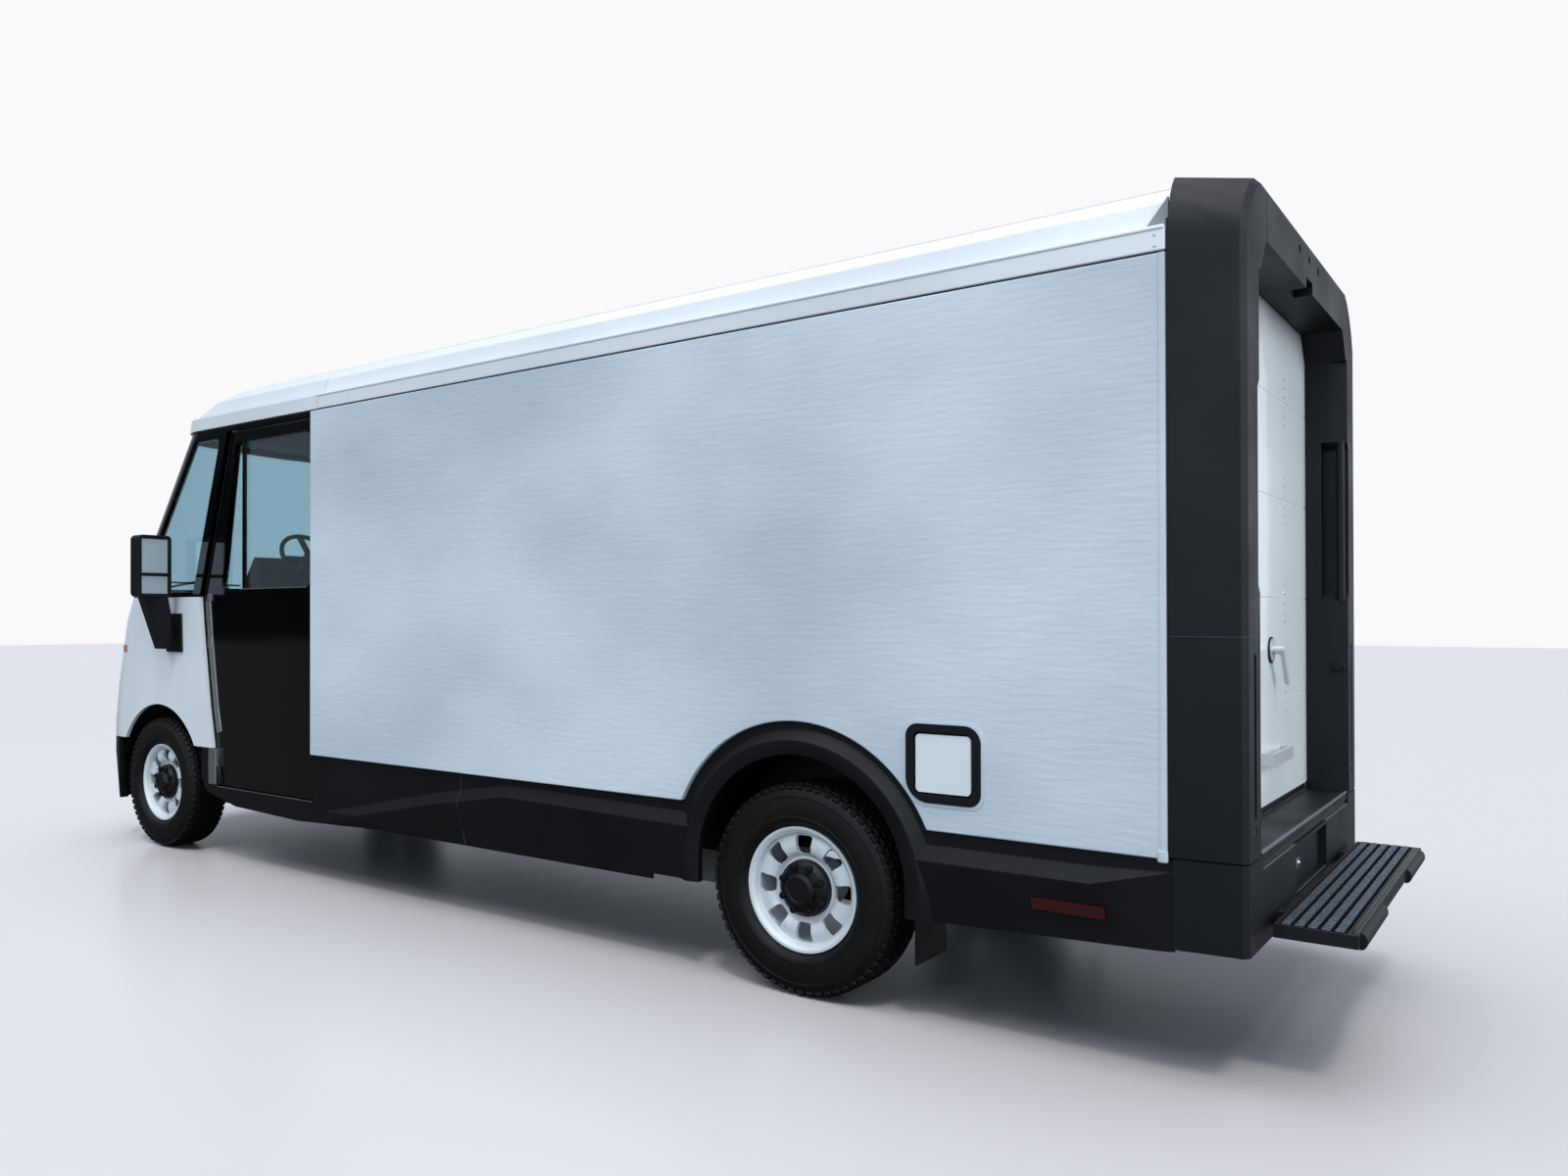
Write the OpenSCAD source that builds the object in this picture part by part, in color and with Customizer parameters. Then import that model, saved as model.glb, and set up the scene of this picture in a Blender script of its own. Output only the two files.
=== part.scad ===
/* [Wheels and axles] */
// Distance between the front and rear axles
wheelbase = 4661; // [4400:1:4900]
// Tyre outer radius
tyre_r = 399.5; // [385:0.5:405]
// Tyre section width
tyre_w = 245; // [225:5:255]
// Rim flange radius
rim_r = 236; // [228:1:242]
// Outer face of a wheel from the centre plane
wheel_face_x = 975; // [968:1:980]
// Number of windows and of studs in a wheel
wheel_windows = 8; // [6:1:10]
// Spindle radius
spindle_r = 35; // [30:1:40]
// Running clearance of a spindle in its hub
spindle_gap = 0.05; // [0.03:0.01:0.09]

/* [Body] */
// Nose to front axle
front_overhang = 885; // [850:5:950]
// Rear axle to the rear face of the tail frame
rear_overhang = 1544.5; // [1450:0.5:1700]
// Half width over the cargo side panels
half_w = 1020; // [1010:5:1040]
// Thickness of a cargo side panel
panel_t = 30; // [20:1:30]
// Bottom edge of the cargo side panels
panel_bottom = 688; // [670:1:700]
// Front axle to the front edge of the side panels
panel_setback = 1615; // [1600:5:1700]
// Rise of the roof above the bottom edge of its cant rail
roof_rise = 242; // [230:1:260]
// Height of the cant rail
rail_h = 73; // [60:1:80]
// Top of the roof
roof_top = 2778; // [2760:1:2800]
// Thickness of the roof skin
roof_t = 25; // [15:1:35]
// Half width of the cab
cab_half = 1000; // [995:1:1005]
// Thickness of the nose and fender shell
nose_t = 22; // [15:1:25]
// Thickness of the cab's window frame
frame_t = 36; // [30:1:38]
// Radius of the nose across its front, seen from above
nose_curve_r = 2500; // [2300:50:3000]
// Radius of the nose's corners, seen from above
nose_corner_r = 300; // [260:10:320]
// Height of the waist line below the cab windows
belt_z = 1548; // [1530:1:1560]

/* [Doors] */
// Thickness of a sliding cab door
door_t = 50; // [40:1:55]
// Gap between a door and the side panel it slides behind
door_gap = 15; // [10:1:18]
// Bottom edge of a cab door
door_bottom = 440; // [430:1:460]
// Depth of the frame between a door and the cant rail
door_head = 36; // [30:1:50]
// Hidden length of a closed door behind the side panel
door_overlap = 80; // [60:5:120]
// Lower edge of the door window
door_window_z = 1592; // [1580:1:1640]
// Top of the cab floor
cab_floor_z = 675; // [650:5:700]
// Thickness of the window glass
glass_t = 6; // [4:1:8]

/* [Tail] */
// Length of the tail frame
portal_len = 214; // [200:1:240]
// Half width of the rear opening
opening_half = 800; // [760:5:820]
// Depth of the tail frame over the rear opening
header_h = 184; // [170:1:220]
// Height of the chamfer on the tail frame's upper corners
corner_cut = 180; // [160:5:200]
// Height of the rear sill and cargo floor
sill_top = 700; // [690:1:720]
// Depth of the roll-up door behind the rear face
door_recess = 152; // [120:1:160]
// Panels in the roll-up door
door_panels = 5; // [4:1:6]
// Length of the rear step
step_len = 242; // [200:1:280]
// Half width of the rear step
step_half = 818; // [700:1:850]
// Top of the rear step
step_z = 498; // [460:1:520]
// Depth of the step's frame
step_h = 44; // [40:1:80]
// Rows of grating teeth in the step
step_rows = 5; // [4:1:6]

/* [Hidden] */
$fn = 48;

step_gap = 28.5;
total_len = front_overhang + wheelbase + rear_overhang + step_gap + step_len;
nose_y = -total_len / 2;
front_axle = nose_y + front_overhang;
rear_axle_y = front_axle + wheelbase;
tail_y = rear_axle_y + rear_overhang;
portal_y = tail_y - portal_len;
panel_y = front_axle + panel_setback;
panel_end = portal_y - 6;
axle_z = tyre_r;
rail_bottom = roof_top - roof_rise;
rail_top = rail_bottom + rail_h;
door_top = rail_bottom - door_head;
opening_top = roof_top - header_h;
wall_top = rail_bottom - 84;

// Door plane and pocket, from the side panel inwards
door_out = half_w - panel_t - door_gap;
door_in = door_out - door_t;
pocket_in = door_in - 20;
wall_t = 20;
wall_in = pocket_in - wall_t;
door_rear = panel_y + door_overlap;
door_front = [
    [front_axle + 670, door_bottom], [front_axle + 577, 895], [front_axle + 509, 1331],
    [front_axle + 485, 1559], [front_axle + 777, door_top]];
door_travel = 1040;
pocket_end = door_rear + door_travel + 20;

// Wheel arches
front_arch_r = 487;
rear_arch_r = 450;
rear_arch_z = axle_z + 60;
flare_r = 580;
liner_t = 8;

// Nose: height, and setback of its foremost point
cab_profile = [
    [258, 95], [330, 40], [560, 0], [760, 3], [950, 35],
    [1100, 66], [1290, 113], [1400, 143], [1560, 228], [rail_bottom, 944]];

// Roof over the cab: height, half width, and setback of its foremost point
shoulder_w = half_w - 48;
dome = [
    [rail_top - 9, shoulder_w, 940], [roof_top - 137, half_w - 50, 990],
    [roof_top - 76, half_w - 62, 1150], [roof_top - 30, half_w - 100, 1385],
    [roof_top - 8, half_w - 152, 1620], [roof_top, half_w - 240, 2000]];

function arc(cx, cy, r, a0, a1, n) =
    [for (i = [0:n]) let (a = a0 + (a1 - a0) * i / n) [cx + r * cos(a), cy + r * sin(a)]];

// Foremost point of the cab at a height between the waist line and the roof
function screen_y(z) = nose_y + 228 + (z - 1560) * (944 - 228) / (rail_bottom - 1560);

module both_sides() {
    children();
    mirror([1, 0, 0]) children();
}

// A side-view outline carried across from x0 to x1
module side_prism(x0, x1) {
    translate([x0, 0, 0]) rotate([90, 0, 90]) linear_extrude(x1 - x0) children();
}

// A rear-view outline carried along from y0 to y1
module end_prism(y0, y1) {
    translate([0, y1, 0]) rotate([90, 0, 0]) linear_extrude(y1 - y0) children();
}

module box(lo, hi) {
    translate(lo) cube(hi - lo);
}

module rounded(r) {
    offset(r = r) offset(delta = -r) children();
}

// Plan outline of the cab with a bowed front and round corners
module cab_plan(tip_y, hw, inset, back_y) {
    corner_x = hw - nose_corner_r;
    centre_y = tip_y + nose_curve_r;
    reach = nose_curve_r - nose_corner_r;
    corner_y = centre_y - sqrt(reach * reach - corner_x * corner_x);
    turn = asin(corner_x / reach);
    bow = 2 * turn / 14;
    polygon(concat(
        arc(-corner_x, corner_y, nose_corner_r - inset, 180, 270 - turn, 8),
        arc(0, centre_y, nose_curve_r - inset, 270 - turn + bow, 270 + turn - bow, 12),
        arc(corner_x, corner_y, nose_corner_r - inset, 270 + turn, 360, 8),
        [[hw - inset, back_y], [inset - hw, back_y]]));
}

module cab_loft(inset, back_y, over) {
    low = cab_profile[0];
    high = cab_profile[len(cab_profile) - 1];
    slices = over
        ? concat([[low[0] - 60, low[1] + 60]], cab_profile, [[high[0] + 60, high[1] + 48]])
        : cab_profile;
    hull() for (s = slices)
        translate([0, 0, s[0]]) linear_extrude(0.5)
            cab_plan(nose_y + s[1], cab_half, inset, back_y);
}

// Wall of the cab between two insets
module cab_skin(outer, inner, back_y) {
    difference() {
        cab_loft(outer, back_y, false);
        cab_loft(inner, back_y + 100, true);
    }
}

module door_outline() {
    polygon(concat(door_front, [[door_rear, door_top], [door_rear, door_bottom]]));
}

module door_window() {
    rounded(40) polygon([
        [front_axle + 672, door_window_z], [front_axle + 822, door_top - 60],
        [panel_y - 60, door_top - 60], [panel_y - 60, door_window_z]]);
}

module quarter_outline() {
    rounded(25) polygon([
        [screen_y(belt_z + 30) + 400, belt_z + 30], [screen_y(rail_bottom - 60) + 400, rail_bottom - 60],
        [front_axle + 695, rail_bottom - 60], [front_axle + 400, belt_z + 30]]);
}

module rear_arch_hole(grow) {
    hull() {
        translate([rear_axle_y, rear_arch_z]) circle(rear_arch_r + grow, $fn = 96);
        translate([rear_axle_y - rear_arch_r - grow, 100]) square([2 * (rear_arch_r + grow), 10]);
    }
}

module front_arch_hole(grow) {
    translate([front_axle, axle_z]) circle(front_arch_r + grow, $fn = 96);
    translate([front_axle - front_arch_r - grow, 100]) square([2 * (front_arch_r + grow), axle_z - 100]);
}

// ---- Chassis ----

rail_in = 560;
rail_wide = 60;
tow_x = 360;
tow_z = 440;
rail_z = 410;
rail_deep = 120;
kick_up = 70;
front_rail_in = 330;
battery_top = 395;

module chassis_rails() {
    color("dimgray") {
        both_sides() {
            side_prism(rail_in, rail_in + rail_wide) polygon([
                [front_axle + 650, rail_z], [rear_axle_y - 480, rail_z],
                [rear_axle_y - 300, rail_z + kick_up], [rear_axle_y + 300, rail_z + kick_up],
                [rear_axle_y + 480, rail_z], [tail_y - 40, rail_z],
                [tail_y - 40, rail_z + rail_deep], [rear_axle_y + 500, rail_z + rail_deep],
                [rear_axle_y + 320, rail_z + rail_deep + kick_up - 10],
                [rear_axle_y - 320, rail_z + rail_deep + kick_up - 10],
                [rear_axle_y - 500, rail_z + rail_deep], [front_axle + 650, rail_z + rail_deep]]);
        }
        for (y = [front_axle + 650, -300, rear_axle_y - 620, rear_axle_y + 560, tail_y - 120])
            box([-rail_in - 5, y, 425], [rail_in + 5, y + 70, 515]);
    }
}

module front_rails() {
    color("dimgray") {
        both_sides()
            box([front_rail_in, nose_y + 230, 380], [front_rail_in + rail_wide, front_axle + 650, 500]);
        box([-front_rail_in - 5, nose_y + 240, 395], [front_rail_in + 5, nose_y + 300, 485]);
        difference() {
            translate([tow_x, nose_y + 235, tow_z]) rotate([90, 0, 0]) cylinder(h = 100, r = 24);
            translate([tow_x, nose_y + 195, tow_z]) rotate([90, 0, 0]) cylinder(h = 70, r = 10);
        }
    }
}

module battery_pack() {
    color("gray") {
        difference() {
            box([-545, front_axle + 800, 250], [545, rear_axle_y - 700, battery_top]);
            for (x = [-400:200:400])
                box([x - 8, front_axle + 790, 240], [x + 8, rear_axle_y - 690, 258]);
        }
        both_sides() for (y = [front_axle + 950:500:rear_axle_y - 850])
            box([540, y, 370], [610, y + 80, 408]);
    }
}

kingpin_x = 800;
kingpin_r = 14;
eye_h = 24;
low_eye_z = 214;
high_eye_z = 553;

// Control arm: a plate from the frame out to the eye of a swivel pin
module control_arm(frame_lo, frame_hi, eye_z) {
    difference() {
        hull() {
            box(frame_lo, frame_hi);
            translate([kingpin_x, front_axle, eye_z]) cylinder(h = eye_h, r = 34);
        }
        translate([kingpin_x, front_axle, eye_z - 20]) cylinder(h = eye_h + 40, r = kingpin_r + spindle_gap);
    }
}

module front_subframe() {
    color("dimgray") {
        difference() {
            box([-395, front_axle - 330, 290], [395, front_axle + 350, 345]);
            box([-300, front_axle - 240, 280], [300, front_axle + 260, 355]);
        }
        both_sides() {
            for (y = [front_axle - 330, front_axle + 290])
                box([front_rail_in + 5, y, 340], [front_rail_in + 50, y + 60, 379]);
            control_arm([380, front_axle - 200, 282], [400, front_axle + 200, 308], low_eye_z);
            control_arm([350, front_axle - 190, 501], [400, front_axle - 70, 525], high_eye_z);
            translate([452, front_axle + 60, 290]) cylinder(h = 445, r = 34);
            translate([452, front_axle + 60, 455]) cylinder(h = 190, r = 56);
            translate([452, front_axle + 60, 700]) cylinder(h = 35, r = 64);
            translate([280, front_axle - 290, 365]) rotate([0, 90, 0]) cylinder(h = 200, r = 13);
        }
        translate([-290, front_axle - 290, 365]) rotate([0, 90, 0]) cylinder(h = 580, r = 30);
    }
}

module drive_units() {
    color("silver") {
        intersection() {
            box([-230, front_axle - 220, 300], [230, front_axle + 220, 530]);
            translate([-240, front_axle, 415]) rotate([0, 90, 0]) cylinder(h = 480, r = 235);
        }
        intersection() {
            box([-drive_half, rear_axle_y - 200, 270], [drive_half, rear_axle_y + 200, 520]);
            translate([-220, rear_axle_y, axle_z]) rotate([0, 90, 0]) cylinder(h = 440, r = 205);
        }
    }
}

hub_in = 705;
hub_out = 886;
drive_half = 210;

module spindle() {
    translate([hub_in + 20, 0, 0]) rotate([0, 90, 0]) cylinder(h = hub_out - hub_in - 20, r = spindle_r);
    translate([hub_in, 0, 0]) rotate([0, 90, 0]) cylinder(h = 60, r = 72);
}

module rear_axle() {
    color("dimgray") both_sides() {
        translate([0, rear_axle_y, axle_z]) {
            spindle();
            translate([drive_half, 0, 0]) rotate([0, 90, 0]) cylinder(h = hub_in - drive_half + 10, r = 42);
        }
        box([rail_in + 5, rear_axle_y - 620, 385], [rail_in + 50, rear_axle_y - 560, rail_z]);
        hull() {
            translate([rail_in + 5, rear_axle_y, 330]) rotate([0, 90, 0]) cylinder(h = 45, r = 40);
            translate([rail_in + 5, rear_axle_y - 590, 360]) rotate([0, 90, 0]) cylinder(h = 45, r = 40);
        }
        box([480, rear_axle_y + 60, 300], [545, rear_axle_y + 110, 460]);
        box([480, rear_axle_y - 30, 300], [545, rear_axle_y + 70, 352]);
    }
}

module knuckle() {
    translate([0, front_axle, axle_z]) {
        spindle();
        translate([730, 0, low_eye_z + eye_h + 30 - axle_z])
            cylinder(h = high_eye_z - low_eye_z - eye_h - 56, r = 29);
        for (z = [low_eye_z + eye_h + 24, high_eye_z - 46])
            box([735, -28, z - axle_z], [kingpin_x + 24, 28, z + 22 - axle_z]);
        translate([kingpin_x, 0, low_eye_z - 6 - axle_z]) cylinder(h = eye_h + 32, r = kingpin_r);
        translate([kingpin_x, 0, high_eye_z - 26 - axle_z]) cylinder(h = eye_h + 32, r = kingpin_r);
        translate([700, -150, -80]) rotate([-90, 0, 0]) cylinder(h = 150, r = 15);
        box([690, -30, -100], [730, 30, -60]);
    }
}

// ---- Wheels ----

// Round-cornered trapezium between two radii of the wheel disc
module wheel_window(r0, r1, half_angle) {
    inner = r1 * sin(half_angle * 0.84);
    outer = r1 * sin(half_angle);
    c = 15;
    polygon([
        [r1, outer - c], [r1 - c * 0.3, outer - c * 0.3], [r1 - c, outer], [r0 + c, inner],
        [r0 + c * 0.3, inner - c * 0.3], [r0, inner - c], [r0, c - inner],
        [r0 + c * 0.3, c * 0.3 - inner], [r0 + c, -inner], [r1 - c, -outer],
        [r1 - c * 0.3, c * 0.3 - outer], [r1, c - outer]]);
}

// Wheel with its axis along +X and its outer face at x = 0
module wheel_form() {
    color("white") difference() {
        rotate([0, 90, 0]) rotate([0, 0, 90]) rotate_extrude($fn = 96) polygon([
            [spindle_r + spindle_gap, -200], [92, -200], [92, -78], [116, -64], [140, -43], [165, -36],
            [188, -42], [rim_r - 30, -50], [rim_r - 30, -186], [rim_r - 26, -192], [rim_r - 1, -198],
            [rim_r, -190], [rim_r - 20, -182], [rim_r - 20, -16], [rim_r, -8], [rim_r, 0], [rim_r - 10, 0],
            [rim_r - 24, -10], [rim_r - 31, -31], [190, -24], [165, -18], [140, -25], [119, -46],
            [107, -46], [104, -22], [88, -9], [66, -4], [60, 6], [50, 10], [0, 10], [0, -76],
            [spindle_r + spindle_gap, -76]]);
        for (i = [0:wheel_windows - 1])
            rotate([i * 360 / wheel_windows, 0, 0]) rotate([0, 90, 0])
                translate([0, 0, -70]) linear_extrude(60) wheel_window(142, 200, 10.3);
    }
    color("black") for (i = [0:wheel_windows - 1])
        rotate([(i + 0.5) * 360 / wheel_windows, 0, 0]) rotate([0, 90, 0])
            translate([86, 0, -30]) cylinder(h = 27, r = 13);
}

// Tyre seated between the rim flanges, on the same axis as the wheel form
module tyre_form() {
    bead = rim_r - 19.7;
    lip = rim_r + 1.2;
    half = tyre_w / 2;
    mid = -98;
    seat = 81;
    color("black") rotate([0, 90, 0]) rotate_extrude($fn = 96) polygon([
        [bead, mid - seat], [lip, mid - seat - 8], [lip + 14, mid - half + 10], [bead + 78, mid - half],
        [tyre_r - 45, mid - half + 8], [tyre_r - 12, mid - half + 24], [tyre_r, mid - half + 46],
        [tyre_r, mid + half - 46], [tyre_r - 12, mid + half - 24], [tyre_r - 45, mid + half - 8],
        [bead + 78, mid + half], [lip + 14, mid + half - 10], [lip, mid + seat + 8], [bead, mid + seat],
        [bead, mid + seat - 24], [bead + 44, mid + half - 34], [tyre_r - 22, mid + half - 50],
        [tyre_r - 22, mid - half + 50], [bead + 44, mid - half + 34], [bead, mid - seat + 24]]);
}

module at_wheel(side, y) {
    if (side > 0) translate([wheel_face_x, y, axle_z]) children();
    if (side < 0) mirror([1, 0, 0]) translate([wheel_face_x, y, axle_z]) children();
}

// ---- Load space ----

module cargo_floor() {
    color("burlywood") difference() {
        union() {
            box([-wall_in + 2, panel_y + 20, sill_top - 60], [wall_in - 2, portal_y - 4, sill_top]);
            box([2 - opening_half, portal_y - 5, sill_top - 60],
                [opening_half - 2, tail_y - door_recess, sill_top]);
        }
        both_sides() side_prism(rail_in + 110, half_w) rear_arch_hole(28);
    }
}

port_y = rear_axle_y + 597;
port_z = 920;
port_half = [138, 136.5];

module charge_hole(grow) {
    hull() for (c = [[-1, 1, 45], [1, 1, 60], [1, -1, 45], [-1, -1, 85]])
        translate([port_y + c[0] * (port_half[0] - c[2]), port_z + c[1] * (port_half[1] - c[2])])
            circle(c[2] + grow);
}

module side_panel(has_port) {
    color("aliceblue") difference() {
        side_prism(half_w - panel_t, half_w)
            translate([panel_y, panel_bottom]) square([panel_end - panel_y, rail_bottom - panel_bottom - 3]);
        translate([half_w - panel_t - 1, rear_axle_y, 450]) rotate([0, 90, 0])
            cylinder(h = panel_t + 2, r = flare_r + 4, $fn = 128);
        if (has_port) side_prism(half_w - panel_t - 1, half_w + 1) charge_hole(0);
    }
}

module inner_wall() {
    color("silver") {
        difference() {
            side_prism(wall_in, pocket_in)
                translate([panel_y + 4, sill_top - 56])
                    square([panel_end - panel_y - 60, wall_top - sill_top + 56]);
            translate([wall_in - 1, rear_axle_y, 0]) side_prism(0, wall_t + 2)
                translate([-rear_axle_y, 0]) rear_arch_hole(24);
        }
        for (y = [pocket_end, pocket_end + 640, rear_axle_y - 640, rear_axle_y + 760, panel_end - 130])
            box([pocket_in - 1, y, panel_bottom + 30], [half_w - panel_t - 1, y + 50, wall_top]);
    }
}

module bulkhead() {
    color("lightgray") difference() {
        box([-wall_in + 3, panel_y - 34, sill_top - 60], [wall_in - 3, panel_y, wall_top]);
        box([-450, panel_y - 40, sill_top + 20], [220, panel_y + 6, wall_top - 100]);
    }
}

// ---- Roof ----

function roof_side(inset) = [
    [half_w - inset, rail_bottom], [half_w - inset, rail_top - inset * 0.4],
    [dome[0][1] - inset, rail_top + 16 - inset],
    for (i = [1:len(dome) - 1]) [dome[i][1] - inset, dome[i][0] - inset]];

module roof_section(inset, low) {
    side = roof_side(inset);
    n = len(side) - 1;
    polygon(concat(
        [[half_w - inset, low]], side,
        [for (i = [n:-1:0]) [-side[i][0], side[i][1]]], [[inset - half_w, low]]));
}

roof_seam = front_axle + 1678;

module roof() {
    color("white") difference() {
        end_prism(roof_seam + 2, panel_end) roof_section(0, rail_bottom);
        end_prism(roof_seam - 10, panel_end + 10) roof_section(roof_t, rail_bottom - 10);
    }
}

module cab_roof_solid(inset, back_y, low) {
    hull() {
        translate([0, 0, low]) linear_extrude(1)
            cab_plan(nose_y + 944, half_w, inset, back_y);
        translate([0, 0, rail_top - 1 - inset]) linear_extrude(1)
            cab_plan(nose_y + 960, half_w, inset, back_y);
        translate([0, 0, rail_top + 16 - inset]) linear_extrude(0.5)
            cab_plan(nose_y + 990, dome[0][1], inset, back_y);
    }
    hull() for (d = dome)
        translate([0, 0, d[0] - inset]) linear_extrude(0.5)
            cab_plan(nose_y + d[2], d[1], inset, back_y);
}

module cab_roof() {
    color("white") difference() {
        cab_roof_solid(0, roof_seam, rail_bottom + 1);
        cab_roof_solid(roof_t, roof_seam + 50, rail_bottom - 10);
    }
}

// ---- Tail ----

corner_round = 0.55;

// Outline of the tail frame: side, then a corner between a chamfer and a quarter round
module portal_outline(side_x, chamfer_z, top_x, top_z, low) {
    corner = [for (i = [0:4]) let (t = i / 4, a = 90 * t) [
        side_x + (top_x - side_x) * (t + corner_round * (1 - cos(a) - t)),
        chamfer_z + (top_z - chamfer_z) * (t + corner_round * (sin(a) - t))]];
    polygon(concat([[side_x, low]], corner,
        [for (i = [4:-1:0]) [-corner[i][0], corner[i][1]]], [[-side_x, low]]));
}

corner_seam = 694;
tail_low = 420;
marker_z = roof_top - 73;

module portal_solid(low) {
    hull() {
        translate([0, portal_y, 0]) end_prism(0, 1)
            portal_outline(half_w, roof_top - corner_cut, half_w - 87, roof_top + 1, low);
        translate([0, tail_y - 18, 0]) end_prism(0, 1)
            portal_outline(half_w - 22, roof_top - corner_cut - 36, half_w - 212, roof_top - 10, low);
        translate([0, tail_y - 1, 0]) end_prism(0, 1)
            portal_outline(half_w - 38, roof_top - corner_cut - 50, half_w - 230, roof_top - 26, low);
    }
}

module opening_outline(grow) {
    polygon([
        [opening_half + grow, corner_seam - 300], [opening_half + grow, opening_top - 110],
        [opening_half - 80 + grow, opening_top + grow], [80 - opening_half - grow, opening_top + grow],
        [-opening_half - grow, opening_top - 110], [-opening_half - grow, corner_seam - 300]]);
}

lamp_x = opening_half + 101;
round_lamp_z = 779;

// Pill-shaped outline of a tail lamp, grown by a margin
module lamp_slot(grow) {
    hull() for (z = [round_lamp_z + 46, 1298])
        translate([lamp_x, z]) circle(13 + grow);
}

// Corner recess behind a grab bar
module handhold_outline() {
    polygon([
        [opening_half - 5, 1490], [opening_half + 25, 1490], [opening_half + 52, 1520],
        [opening_half + 52, 2120], [opening_half + 25, 2150], [opening_half - 5, 2150]]);
}

module rear_post() {
    color("darkslategray") {
        difference() {
            intersection() {
                portal_solid(corner_seam + 2);
                box([opening_half - 90, portal_y - 10, corner_seam + 1],
                    [half_w + 5, tail_y + 5, roof_top + 5]);
            }
            end_prism(portal_y - 5, tail_y + 5) opening_outline(0);
            translate([0, 0, corner_seam]) linear_extrude(opening_top - 110 - corner_seam) polygon([
                [opening_half - 5, tail_y - 70], [opening_half, tail_y - 70],
                [opening_half + 30, tail_y + 1], [opening_half - 5, tail_y + 1]]);
            end_prism(tail_y - 92, tail_y + 5) handhold_outline();
            box([opening_half - 95, tail_y - door_recess - 27, corner_seam - 5],
                [opening_half + 28, tail_y - door_recess + 3, opening_top + 14]);
            end_prism(tail_y - 30, tail_y + 5) lamp_slot(0);
            translate([lamp_x, tail_y + 5, round_lamp_z]) rotate([90, 0, 0]) cylinder(h = 35, r = 16);
            box([wall_in + 40, portal_y - 5, corner_seam - 5],
                [half_w - 45, portal_y + 120, opening_top - 94]);
        }
        translate([opening_half + 27, tail_y - 24, 1485]) cylinder(h = 670, r = 15);
    }
}

module rear_header() {
    color("darkslategray") difference() {
        intersection() {
            portal_solid(opening_top - 190);
            box([90 - opening_half, portal_y - 10, opening_top - 190],
                [opening_half - 90 - 2, tail_y + 5, roof_top + 5]);
        }
        end_prism(portal_y - 5, tail_y + 5) opening_outline(0);
        for (x = [-175, 0, 175])
            translate([x, tail_y + 5, marker_z]) rotate([90, 0, 0]) cylinder(h = 30, r = 16);
        box([-opening_half - 5, tail_y - door_recess - 27, opening_top - 200],
            [opening_half + 5, tail_y - door_recess + 3, opening_top + 14]);
        box([-60, tail_y - 60, opening_top - 5], [60, tail_y + 5, opening_top + 40]);
    }
}

module rear_lamps() {
    color("red") {
        both_sides() {
            end_prism(tail_y - 28, tail_y - 14) lamp_slot(-1);
            translate([lamp_x, tail_y - 2, round_lamp_z]) rotate([90, 0, 0]) cylinder(h = 14, r = 15);
            box([marker_in, rear_axle_y + 905, 478], [marker_in + 12, rear_axle_y + 1139, 517]);
        }
        for (x = [-175, 0, 175])
            translate([x, tail_y - 8, marker_z]) rotate([90, 0, 0]) cylinder(h = 16, r = 15);
    }
}

module rear_door() {
    y0 = tail_y - door_recess - 24;
    seal = 26;
    h = (opening_top - sill_top + seal) / door_panels;
    top = opening_top + 10;
    color("white") for (i = [0:door_panels - 1]) {
        low = sill_top + seal + i * h;
        difference() {
            box([-opening_half - 24, y0, low - 0.5], [opening_half + 24, y0 + 24, min(top, low + h)]);
            box([-opening_half - 30, y0 + 20, low - 5], [opening_half + 30, y0 + 30, low + 3]);
        }
    }
    color("black")
        box([-opening_half - 20, y0 + 4, sill_top + 3], [opening_half + 20, y0 + 20, sill_top + seal]);
}

module rear_door_handles() {
    y0 = tail_y - door_recess;
    color("silver") {
        translate([-100, y0 + 10, 1298]) rotate([90, 0, 0]) cylinder(h = 10, r = 42);
        translate([-100, y0 + 44, 1298]) rotate([90, 0, 0]) cylinder(h = 36, r = 16);
        translate([-100, y0 + 34, 1298]) rotate([0, 34, 0]) box([-13, 0, -150], [13, 14, 10]);
        difference() {
            box([-280, y0, 880], [60, y0 + 42, 926]);
            box([-262, y0 - 1, 875], [42, y0 + 32, 930]);
        }
    }
}

plate_half = 290;
plate_w = 177.8;
plate_h = 120.65;

module rear_sill() {
    color("darkslategray") difference() {
        union() {
            difference() {
                intersection() {
                    portal_solid(tail_low);
                    box([-half_w - 5, portal_y + 10, tail_low], [half_w + 5, tail_y + 5, corner_seam - 2]);
                }
                box([70 - half_w, portal_y - 5, tail_low - 10], [half_w - 70, tail_y - 30, sill_top]);
                box([-opening_half, tail_y - 12, 650], [opening_half, tail_y + 5, sill_top]);
                box([-plate_half, tail_y - 26, tail_low + 58], [plate_half, tail_y + 5, 640]);
            }
            box([-opening_half + 2, tail_y - door_recess + 2, sill_top - 30],
                [opening_half - 2, tail_y - 4, sill_top]);
            box([-plate_half - 20, tail_y - 44, tail_low], [plate_half + 20, tail_y - 26, sill_top - 20]);
            both_sides()
                box([half_w - 110, portal_y + 14, sill_top - 36],
                    [half_w - 66, tail_y - 20, corner_seam - 2]);
            box([-opening_half - 60, tail_y - door_recess + 2, sill_top - 40],
                [opening_half + 60, tail_y - 20, corner_seam - 10]);
        }
        both_sides() box([rail_in - 4, tail_y - 50, 436], [rail_in + rail_wide + 4, tail_y + 5, 492]);
        for (x = [-plate_w / 2, plate_w / 2], z = [-plate_h / 2, plate_h / 2])
            translate([x, tail_y + 5, 545 + z]) rotate([90, 0, 0]) cylinder(h = 60, r = 3.5);
    }
}

step_teeth = 62;
bar_w = 23;
stop_depth = 18;

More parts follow.
